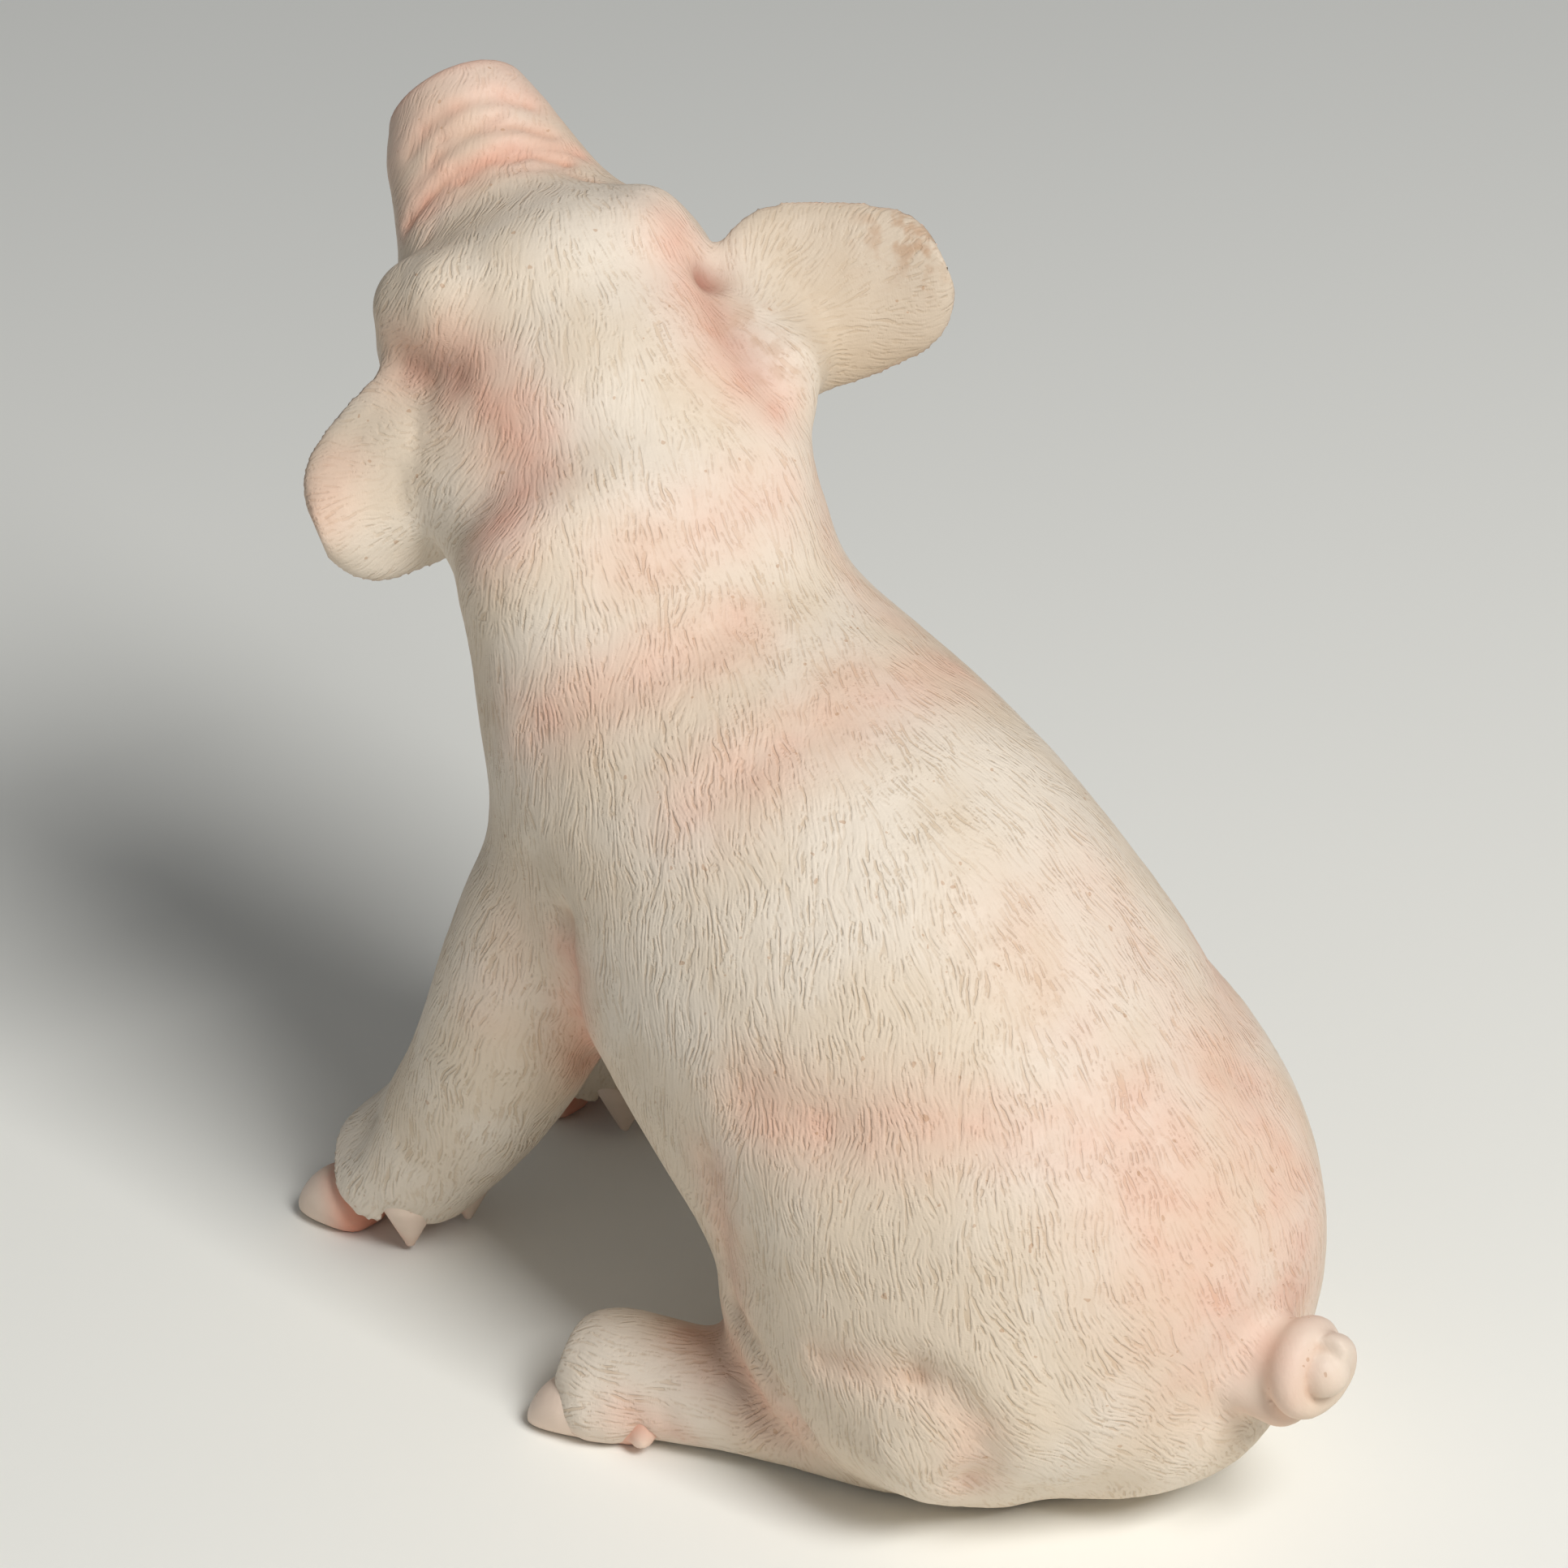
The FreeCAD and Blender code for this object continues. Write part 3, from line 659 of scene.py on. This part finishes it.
def seen_flow(points, normals):
    """The strokes' direction on the side that the photograph shows."""
    at = pixels_of(points)
    c, s, total = np.zeros(len(points)), np.zeros(len(points)), np.full(len(points), 1e-12)
    for px, py, lean in HAIR:
        weight = np.exp(-((at[:, 0] - px) ** 2 + (at[:, 1] - py) ** 2) / (2.0 * HAIR_SPREAD ** 2)) + 1e-9
        c += weight * math.cos(math.radians(lean))
        s += weight * math.sin(math.radians(lean))
        total += weight
    c, s = c / total, s / total
    across = c[:, None] * RIGHT + s[:, None] * UP
    flow = unit(np.cross(normals, across))
    down = s[:, None] * RIGHT - c[:, None] * UP
    return flow * np.sign((flow * down).sum(1, keepdims=True))


# What the photograph doesn't show mirrors what it shows, and the rest runs down. Hair runs straight down the
# front legs, from the brow on the head's hidden part, from each ear's root and to the claws on hind feet
FLOW_ROUNDS = 22
facing = ramp(normals @ BACK, 0.02, 0.35)[:, None]
facing_other = ramp((normals * MIRROR) @ BACK, 0.02, 0.35)[:, None]
flow = facing * seen_flow(base, normals)
flow += (1.0 - facing) * facing_other * MIRROR * seen_flow(base * MIRROR, normals * MIRROR)
flow += 0.15 * tangent(np.array((0.0, 0.1, -1.0)))
leg = is_foreleg[:, None]
flow = (1.0 - leg) * flow + leg * tangent(np.array((0.0, -0.35, -1.0)))
from_brow = tangent(base - on_head(FACE_MIDDLE, -38.0, 6.0))
hidden_head = is_head[:, None] * (1.0 - facing)
flow = unit(flow) * (1.0 - hidden_head) + from_brow * hidden_head
for name, root in (("left_ear", on_head(17.0, -1.0, 3.0)), ("right_ear", on_head(-14.0, -1.0, 3.0))):
    mask = belongs([name], 4)[:, None]
    flow = flow * (1.0 - mask) + mask * tangent(base - root)
for sign in (-1.0, 1.0):
    foot = (ramp(-base[:, 1], -24.0, -10.0) * ramp(-base[:, 2], -16.0, -12.0) * ramp(base[:, 1], -24.0, -20.0)
            * (base[:, 0] * sign > 10.0))[:, None]
    flow = flow * (1.0 - foot) + foot * tangent(np.array((sign * 0.31, -0.95, -0.1)))
flow = tangent(net.smooth(flow, FLOW_ROUNDS))


# ---- tufts and unevenness in the form itself ----
def value_noise(seed, size=48):
    """Smooth noise of -0.5 to 0.5 from a seeded table, as a function of points and the noise's cell in mm."""
    table = np.random.default_rng(seed).random((size, size, size)).astype(np.float32)

    def at(points, cell):
        q = points / cell
        i = np.floor(q).astype(int)
        f = q - i
        f = f * f * (3.0 - 2.0 * f)
        total = np.zeros(len(points))
        for corner in np.ndindex(2, 2, 2):
            weight = np.prod(np.where(corner, f, 1.0 - f), axis=1)
            j = (i + corner) % size
            total += weight * table[j[:, 0], j[:, 1], j[:, 2]]
        return total - 0.5
    return at


fine = value_noise(7)
coarse = value_noise(11)
sway = (0.9 * coarse(base + 50.0, 3.4) + 0.6 * coarse(base + 80.0, 1.7))[:, None]
flow = np.cos(sway) * flow + np.sin(sway) * np.cross(normals, flow)
TUFT_STEPS = np.linspace(-1.3, 1.3, 7)
tuft = sum(fine(base + flow * s, 0.9) for s in TUFT_STEPS) / len(TUFT_STEPS)
rolling = coarse(base, 9.0) + 0.5 * coarse(base + 31.0, 4.5)
fur = 1.0 - 0.85 * is_tail
fur *= 1.0 - (0.2 + 0.35 * ramp(along_head, 27.0, 40.0)) * is_head
fur *= 1.0 - 0.3 * is_ear
lift += 0.14 * tuft * fur + 0.3 * rolling * (1.0 - 0.7 * is_ear)

# The flat seat stays as it is, and nothing goes below the ground
under = ramp(base[:, 2], 0.2, 1.5)
seat = (normals[:, 2] < -0.5) & (base[:, 2] < 1.2)
lift *= np.where(seat, 0.0, under)
points = base + normals * lift[:, None]
points[:, 2] = np.maximum(points[:, 2], 0.02)
shown_normals = unit(net.smooth(normals_of(points, quads), 1))
hollow = ((net.smooth(points, 6) - points) * shown_normals).sum(1)
hollow = net.smooth(hollow, 2)

# ---- the painter's colours, and painted shade ----
# Pink airbrush: pixels, width in mm, strength, and which mirror image the hidden side has
PINK = (
    ([(780, 690), (880, 645), (960, 600)], 5.5, 0.42, ""),
    ([(655, 885), (700, 870), (790, 830), (900, 775)], 5.0, 0.55, ""),
    ([(860, 985), (930, 940), (1010, 895), (1080, 850)], 5.5, 0.5, ""),
    ([(1120, 850), (1175, 825)], 4.5, 0.5, ""),
    ([(1010, 600), (1050, 690), (1100, 760)], 4.5, 0.35, ""),
    ([(575, 462), (615, 500), (642, 545), (646, 595), (612, 652)], 4.8, 0.9, ""),
    ([(835, 290), (855, 360), (895, 440), (950, 495)], 4.5, 0.8, ""),
    ([(500, 440), (570, 430), (590, 470)], 4.0, 0.7, ""),
    ([(700, 1190), (712, 1250), (735, 1310)], 4.0, 0.8, "body"),
    ([(930, 1362), (1005, 1388)], 5.0, 0.6, "body"),
    ([(1005, 1388), (1150, 1385), (1385, 1410)], 5.0, 0.5, "body"),
    ([(875, 1440), (888, 1500), (905, 1600)], 3.5, 0.5, "body"),
    ([(1520, 1330), (1590, 1450), (1600, 1580)], 10.0, 0.6, "body"),
    ([(1350, 1100), (1480, 1280)], 7.0, 0.28, "body"),
    ([(870, 1640), (915, 1680), (965, 1750)], 5.0, 0.65, "body"),
    ([(770, 1745), (830, 1765)], 3.0, 0.5, "body"),
    ([(1590, 1690), (1560, 1750)], 5.0, 0.5, ""),
    ([(1200, 1770), (1200, 1840)], 3.0, 0.4, "body"),
    ([(1014, 1677), (1126, 1700), (1200, 1760)], 2.6, 0.3, "body"),
    ([(410, 580), (390, 640), (400, 690)], 3.4, 0.5, ""),
    ([(480, 200), (500, 160), (560, 110)], 5.0, 0.45, "head"),
    ([(500, 260), (560, 200), (650, 185)], 4.0, 0.4, "head"),
    ([(640, 1150), (600, 1250)], 5.0, 0.2, "body"),
)
# Painted shade in the ears' pits, and brown stains, in the same form
PAINTED_PIT_SHADES = (
    ([(515, 460), (556, 468)], 2.6, 0.4, ""),
    ([(546, 456)], 2.4, 0.55, ""),
    ([(873, 342)], 2.4, 0.9, ""),
    ([(880, 370), (900, 415), (935, 455)], 2.6, 0.3, ""),
)
STAINS = (
    ([(1150, 285), (1172, 330), (1178, 370), (1170, 405)], 1.8, 0.6, ""),
    ([(1105, 280), (1140, 300)], 4.5, 0.55, ""),
    ([(960, 440), (930, 400)], 4.0, 0.3, ""),
    ([(388, 640), (395, 690)], 1.6, 0.5, ""),
)


def painted(rows, strength_share=1.0, width_share=1.0):
    """The strongest of the rows' lines at each point."""
    total = np.zeros(len(base))
    for line, width, strength, mirror in rows:
        total = np.maximum(total, strength_share * strength * near(line, width * width_share, mirror))
    return total


def spot(centre, spread):
    """A round spot on the skin: 1 in its middle, and falling off over the spread in mm."""
    return np.exp(-(np.linalg.norm(base - centre, axis=1) / spread) ** 2)


# The skin round the feet, and the ears' inner side
cuff = np.zeros(len(base))
for foot in FEET:
    cuff = np.maximum(cuff, 1.0 - ramp(np.linalg.norm(base - foot, axis=1), 6.0, 11.0))
inner_ear = is_ear * ramp(-(normals @ (HEAD_TURN @ np.array((0.0, 0.54, 0.84)))), 0.1, 0.6)

pink = painted(PINK, 0.85, 1.15)
pink += 0.55 * crease
pink += 0.6 * is_head * ramp(along_head, 44.0, 49.0) * (1.0 - side_facing)
for eye in EYES:
    pink = np.maximum(pink, 0.7 * spot(eye, 6.0))
pink += 0.35 * ramp(hollow, 0.03, 0.2)
pink = np.maximum(pink, 0.6 * inner_ear)
pink = np.maximum(pink, 0.5 * cuff * ramp(-base[:, 2], -4.5, -2.0))
pink *= 1.0 + 0.5 * coarse(base + 17.0, 3.0)
pink = np.clip(net.smooth(pink, 4), 0.0, 1.0)
painted_pit_shade = painted(PAINTED_PIT_SHADES, 0.85)
# The nostrils get the same painted shade
for sign in (-1.0, 1.0):
    painted_pit_shade = np.maximum(painted_pit_shade, spot(on_face(sign, SNOUT_MIDDLE, 3.6, -48.5, 1.4), 2.0))
stain = painted(STAINS)

# Painted shade: the right ear is darkened towards its outer edge
right_ear_painted_shade = ramp(-head_points[:, 0], 17.0, 24.0) * is_ear


# ---- pieces ----
def mesh_piece(name, points, faces, normals=None, layers=()):
    """An object of quads, with smooth shading and its points' layers."""
    mesh = bpy.data.meshes.new(name)
    mesh.vertices.add(len(points))
    mesh.vertices.foreach_set("co", (points * MM).astype(np.float32).ravel())
    mesh.loops.add(faces.size)
    mesh.loops.foreach_set("vertex_index", faces.astype(np.int32).ravel())
    mesh.polygons.add(len(faces))
    mesh.polygons.foreach_set("loop_start", np.arange(0, faces.size, faces.shape[1], dtype=np.int32))
    mesh.update(calc_edges=True)
    mesh.validate()
    for layer, values in layers:
        if values.ndim == 2:
            mesh.attributes.new(layer, "FLOAT_VECTOR", "POINT").data.foreach_set(
                "vector", values.astype(np.float32).ravel())
        else:
            mesh.attributes.new(layer, "FLOAT", "POINT").data.foreach_set("value", values.astype(np.float32))
    mesh.polygons.foreach_set("use_smooth", np.ones(len(mesh.polygons), bool))
    if normals is not None:
        mesh.normals_split_custom_set_from_vertices(normals.tolist())
    piece = bpy.data.objects.new(name, mesh)
    bpy.context.scene.collection.objects.link(piece)
    return piece


class Nodes:
    """A material's node tree, built by short calls."""

    def __init__(self, name):
        self.material = bpy.data.materials.new(name)
        self.material.use_nodes = True
        self.tree = self.material.node_tree
        self.shader = self.tree.nodes["Principled BSDF"]
        self.shader.inputs["Roughness"].default_value = 0.6

    def put(self, socket, value):
        if isinstance(value, bpy.types.NodeSocket):
            self.tree.links.new(value, socket)
        elif value is not None:
            socket.default_value = value

    def node(self, kind, output, settings=None, **inputs):
        """A new node's output. Its inputs are given by name, or by number as i0, i1 and so on."""
        node = self.tree.nodes.new("ShaderNode" + kind)
        for key, value in (settings or {}).items():
            setattr(node, key, value)
        for key, value in inputs.items():
            self.put(node.inputs[int(key[1:]) if key[0] == "i" and key[1:].isdigit() else key], value)
        return node.outputs[output]

    def math(self, operation, a, b=None, c=None, clamp=False):
        return self.node("Math", 0, {"operation": operation, "use_clamp": clamp}, i0=a, i1=b, i2=c)

    def vector(self, operation, a, b=None, c=None):
        return self.node("VectorMath", 0, {"operation": operation}, i0=a, i1=b, i2=c)

    def layer(self, name, vector=False):
        return self.node("Attribute", "Vector" if vector else "Fac", {"attribute_name": name})

    def noise(self, place, scale, detail=0.0):
        return self.node("TexNoise", "Fac", None, Vector=place, Scale=scale, Detail=detail)

    def span(self, value, start, end, low=0.0, high=1.0):
        return self.node("MapRange", 0, {"interpolation_type": "SMOOTHSTEP"},
                         Value=value, i1=start, i2=end, i3=low, i4=high)

    def mix(self, share, one, other):
        return self.node("Mix", 2, {"data_type": "RGBA"}, i0=share, i6=one, i7=other)

    def bump(self, height, distance, strength=1.0, under=None):
        return self.node("Bump", 0, None, Height=height, Distance=distance, Strength=strength, Normal=under)

    def place(self):
        return self.node("TexCoord", "Object")


def colour(red, green, blue):
    """A colour from its screen values."""
    return tuple((c / 255.0 / 12.92) if c <= 10 else ((c / 255.0 + 0.055) / 1.055) ** 2.4
                 for c in (red, green, blue)) + (1.0,)


GROOVE = colour(196, 170, 138)
CREAM = colour(222, 206, 185)
PALE = colour(228, 216, 200)
TAN = colour(178, 150, 116)
PINK_PAINT = colour(230, 164, 140)
# The colour of the painted shade in pits and nostrils
PIT_SHADE_COLOUR = colour(150, 84, 72)
STAIN = colour(178, 132, 92)
CLAW_ROOT = colour(228, 158, 132)
CLAW_TIP = colour(236, 214, 196)

# A tooled stroke: half its length in mm, how many samples of noise it's averaged from, the noise's scale and
# its depth in metres
STROKE_HALF = 1.15
STROKE_SAMPLES = 9
STROKE_SCALE = 2600.0
STROKE_DEPTH = 0.000095


def skin_material(name, stroke=1.0):
    """Painted resin with combed strokes that follow the hair_dir layer."""
    n = Nodes(name)
    place = n.place()
    lie = n.layer("hair_dir", True)
    fur = n.layer("fur")
    total = None
    for tap in np.linspace(-STROKE_HALF, STROKE_HALF, STROKE_SAMPLES):
        at = n.vector("MULTIPLY_ADD", lie, (tap * MM,) * 3, place)
        value = n.noise(at, STROKE_SCALE)
        total = value if total is None else n.math("ADD", total, value)
    height = n.math("DIVIDE", total, float(STROKE_SAMPLES))
    patch = n.noise(place, 230.0, 2.0)
    depth = n.math("MULTIPLY", n.span(patch, 0.3, 0.68, 0.3, 1.0), n.math("MULTIPLY", fur, stroke))
    cut = n.span(height, 0.495, 0.42)
    ridge = n.span(height, 0.5, 0.59)
    broad = n.noise(place, 45.0, 3.0)
    body = n.mix(n.span(broad, 0.38, 0.62), CREAM, PALE)
    groove = n.math("MULTIPLY", cut, n.math("MULTIPLY", depth, 0.5))
    body = n.mix(groove, body, GROOVE)
    # Tan in the skin's hollows, and the right ear's painted shade, from the same layer
    body = n.mix(n.math("MULTIPLY", n.layer("hollow"), 0.35), body, TAN)
    blush = n.math("MULTIPLY", n.layer("pink"), n.span(patch, 0.2, 0.8, 0.75, 1.1))
    body = n.mix(n.math("MULTIPLY", blush, 0.78, clamp=True), body, PINK_PAINT)
    # Painted shade: dark brown in the ears' pits and the nostrils
    body = n.mix(n.math("MULTIPLY", n.layer("painted_pit_shade"), 0.85), body, PIT_SHADE_COLOUR)
    smear = n.span(n.noise(place, 420.0, 3.0), 0.42, 0.62)
    body = n.mix(n.math("MULTIPLY", n.layer("stain"), smear), body, STAIN)
    speck = n.math("GREATER_THAN", n.noise(place, 700.0, 1.0), 0.765)
    body = n.mix(n.math("MULTIPLY", speck, 0.45), body, STAIN)
    n.put(n.shader.inputs["Base Color"], body)
    n.put(n.shader.inputs["Roughness"], n.span(n.noise(place, 900.0, 2.0), 0.3, 0.7, 0.5, 0.68))
    n.shader.inputs["Specular IOR Level"].default_value = 0.35
    relief = n.math("MULTIPLY", n.math("MULTIPLY_ADD", ridge, 0.5, n.math("SUBTRACT", 1.0, cut)), depth)
    rough = n.bump(n.noise(place, 5200.0, 2.0), 0.00003, 0.5)
    n.put(n.shader.inputs["Normal"], n.bump(relief, STROKE_DEPTH, 1.0, rough))
    return n.material


def claw_material():
    n = Nodes("claw_paint")
    place = n.place()
    body = n.mix(n.layer("pink"), CLAW_TIP, CLAW_ROOT)
    cloud = n.noise(place, 260.0, 3.0)
    body = n.mix(n.span(cloud, 0.45, 0.75, 0.0, 0.4), body, CREAM)
    speck = n.math("GREATER_THAN", n.noise(place, 800.0, 1.0), 0.74)
    body = n.mix(n.math("MULTIPLY", speck, 0.4), body, STAIN)
    n.put(n.shader.inputs["Base Color"], body)
    n.put(n.shader.inputs["Roughness"], n.span(cloud, 0.3, 0.7, 0.38, 0.55))
    n.put(n.shader.inputs["Normal"], n.bump(n.noise(place, 900.0, 3.0), 0.00008, 0.7))
    return n.material


def eye_material():
    n = Nodes("eye_enamel")
    place = n.place()
    body = n.mix(n.noise(place, 900.0, 2.0), colour(20, 14, 12), colour(52, 34, 26))
    n.put(n.shader.inputs["Base Color"], body)
    n.put(n.shader.inputs["Roughness"], n.span(n.noise(place, 1500.0, 2.0), 0.3, 0.7, 0.06, 0.16))
    n.shader.inputs["Coat Weight"].default_value = 0.6
    n.put(n.shader.inputs["Normal"], n.bump(n.noise(place, 1300.0, 2.0), 0.00002, 0.4))
    return n.material


def plug_material():
    n = Nodes("plug_resin")
    place = n.place()
    cloud = n.noise(place, 120.0, 4.0)
    body = n.mix(n.span(cloud, 0.35, 0.65), colour(214, 206, 194), colour(196, 186, 172))
    speck = n.math("GREATER_THAN", n.noise(place, 900.0, 1.0), 0.7)
    body = n.mix(n.math("MULTIPLY", speck, 0.6), body, TAN)
    n.put(n.shader.inputs["Base Color"], body)
    n.put(n.shader.inputs["Roughness"], n.span(cloud, 0.3, 0.7, 0.6, 0.8))
    n.put(n.shader.inputs["Normal"], n.bump(n.noise(place, 1100.0, 4.0), 0.00012, 0.8))
    return n.material


def floor_material():
    """A pale floor with painted shade: it darkens a little away from the camera's side, as light falling off.
    """
    n = Nodes("studio_floor")
    place = n.place()
    away = tuple(-BACK * np.array((1, 1, 0)))
    far = n.node("VectorMath", "Value", {"operation": "DOT_PRODUCT"}, i0=place, i1=away)
    # Painted shade: darker with distance from the camera's side, standing in for light falling off
    tone_and_painted_falloff = n.mix(n.span(far, -0.16, 0.42), colour(252, 252, 246), colour(247, 248, 244))
    tone_and_painted_falloff = n.mix(n.span(n.noise(place, 3.0, 2.0), 0.3, 0.7, 0.0, 0.12), tone_and_painted_falloff, colour(240, 241, 237))
    n.put(n.shader.inputs["Base Color"], tone_and_painted_falloff)
    n.shader.inputs["Roughness"].default_value = 0.75
    n.shader.inputs["Specular IOR Level"].default_value = 0.2
    return n.material


SKIN = skin_material("painted_skin")
EAR_SKIN = skin_material("ear_skin", 0.85)
TAIL_SKIN = skin_material("tail_skin", 0.5)
CLAW = claw_material()

# Each quad goes whole to one casting, the second of its corners' castings in the order of SKIN_NODES
face_label = np.sort(label[quads], axis=1)[:, 1]
layers = (
    ("hair_dir", flow),
    ("fur", np.clip(fur, 0.0, 1.0)),
    ("pink", pink),
    # Painted shade in the ears' pits and the nostrils
    ("painted_pit_shade", np.clip(painted_pit_shade, 0.0, 1.0)),
    ("stain", np.clip(stain, 0.0, 1.0)),
    # The hollow layer also carries the right ear's painted shade
    ("hollow", np.maximum(ramp(hollow, 0.01, 0.12), right_ear_painted_shade)),
)
for index, name in enumerate(SKIN_NODES):
    faces = quads[face_label == index]
    used, inverse = np.unique(faces, return_inverse=True)
    piece = mesh_piece(name + "_skin", points[used], inverse.reshape(-1, 4), shown_normals[used],
                       [(key, values[used]) for key, values in layers])
    kind = "ear_skin" if "ear" in name else "tail_skin" if name == "tail" else "skin"
    piece.data.materials.append({"ear_skin": EAR_SKIN, "tail_skin": TAIL_SKIN}.get(kind, SKIN))
    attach(piece, "root")
    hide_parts(name)

# Claws: smoothed but for their flat soles, and pinker at their roots
for side, sign in SIDES:
    for which, foot in (("fore", np.array((sign * FORE_FOOT_OUT, -57.0, 4.0))),
                        ("hind", hind_foot(sign, 38.5, 0.0, 6.0))):
        name = side + "_" + which + "_claws"
        field = claw_fields[name]
        claw_points, claw_quads = polygons(field)
        claw_quads = outward(claw_points, claw_quads, field)
        claw_net = Net(claw_quads, len(claw_points))
        sole = claw_points[:, 2] < 0.3
        rounded = claw_net.smooth(claw_points, 3)
        rounded[sole] = claw_points[sole]
        rounded[:, 2] = np.maximum(rounded[:, 2], 0.01)
        out = np.linalg.norm(claw_points - foot, axis=1)
        piece = mesh_piece(name + "_skin", rounded, claw_quads, normals_of(rounded, claw_quads),
                           [("pink", 1.0 - ramp(out, 7.2, 10.2))])
        piece.data.materials.append(CLAW)
        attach(piece, "root")
        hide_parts(name)

# Eyes: their radius, how deep they are set in, and the mesh's rows and columns
BEAD_RADIUS = 2.85
BEAD_SUNK = 0.8
BEAD_ROWS, BEAD_COLUMNS = 20, 32


def bead(centre):
    """The points and quads of a ball."""
    spots = []
    for polar in (math.pi * row / BEAD_ROWS for row in range(BEAD_ROWS + 1)):
        ring, height = math.sin(polar), math.cos(polar)
        for turned in (math.tau * column / BEAD_COLUMNS for column in range(BEAD_COLUMNS)):
            spots.append((ring * math.cos(turned), ring * math.sin(turned), height))
    rows, columns = np.mgrid[0:BEAD_ROWS, 0:BEAD_COLUMNS]
    here, beside = rows * BEAD_COLUMNS + columns, rows * BEAD_COLUMNS + (columns + 1) % BEAD_COLUMNS
    faces = np.stack([here, here + BEAD_COLUMNS, beside + BEAD_COLUMNS, beside], 2)
    return centre + BEAD_RADIUS * np.array(spots), faces.reshape(-1, 4)


EYE_PAINT = eye_material()
for name, eye, sign in (("left_eye", EYES[0], 1.0), ("right_eye", EYES[1], -1.0)):
    piece = mesh_piece(name + "_bead", *bead(eye - HEAD_TURN @ np.array((sign * BEAD_SUNK, 0.0, 0.0))))
    piece.data.materials.append(EYE_PAINT)
    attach(piece, "root")
    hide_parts(name)

plug = bpy.data.objects["base_plug"].data
plug.materials.clear()
plug.materials.append(plug_material())

# ---- floor, lights and camera ----
scene = bpy.context.scene
FLOOR_HALF = 6.0
floor_mesh = bpy.data.meshes.new("floor")
corners = [(x * FLOOR_HALF, y * FLOOR_HALF, 0.0) for x, y in ((-1, -1), (1, -1), (1, 1), (-1, 1))]
floor_mesh.from_pydata(corners, [], [(0, 1, 2, 3)])
floor_mesh.materials.append(floor_material())
floor = bpy.data.objects.new("floor", floor_mesh)
scene.collection.objects.link(floor)


def softbox(name, azimuth, elevation, distance, size, power, tint):
    """A square lamp that looks at the piglet; azimuth is measured from +X towards +Y."""
    data = bpy.data.lights.new(name, "AREA")
    data.size = size
    data.energy = power
    data.color = tint
    lamp = bpy.data.objects.new(name, data)
    a, e = math.radians(azimuth), math.radians(elevation)
    way = Vector((math.cos(a) * math.cos(e), math.sin(a) * math.cos(e), math.sin(e)))
    lamp.location = Vector((0.0, 0.0, 0.07)) + way * distance
    lamp.rotation_euler = way.to_track_quat("Z", "Y").to_euler()
    scene.collection.objects.link(lamp)


# Azimuth and elevation in degrees, distance and size in metres, power in watts, and tint
softbox("key", 80.0, 47.0, 1.25, 0.5, 14.5, (1.0, 0.985, 0.965))
softbox("fill", 2.0, 18.0, 1.5, 1.3, 1.35, (0.98, 0.99, 1.0))
scene.world = scene.world or bpy.data.worlds.new("studio")
scene.world.use_nodes = True
sky = scene.world.node_tree.nodes["Background"]
sky.inputs["Color"].default_value = (0.93, 0.95, 0.97, 1.0)
sky.inputs["Strength"].default_value = 0.148

SENSOR = 36.0
camera_data = bpy.data.cameras.new("camera")
camera_data.sensor_width = SENSOR
camera_data.lens = SENSOR * FOCUS / PICTURE
camera_data.clip_end = 50.0
camera = bpy.data.objects.new("camera", camera_data)
camera.location = Vector(CAMERA_PLACE * MM)
camera.rotation_euler = Vector(BACK).to_track_quat("Z", "Y").to_euler()
scene.collection.objects.link(camera)
scene.camera = camera
scene.view_settings.view_transform = "Standard"
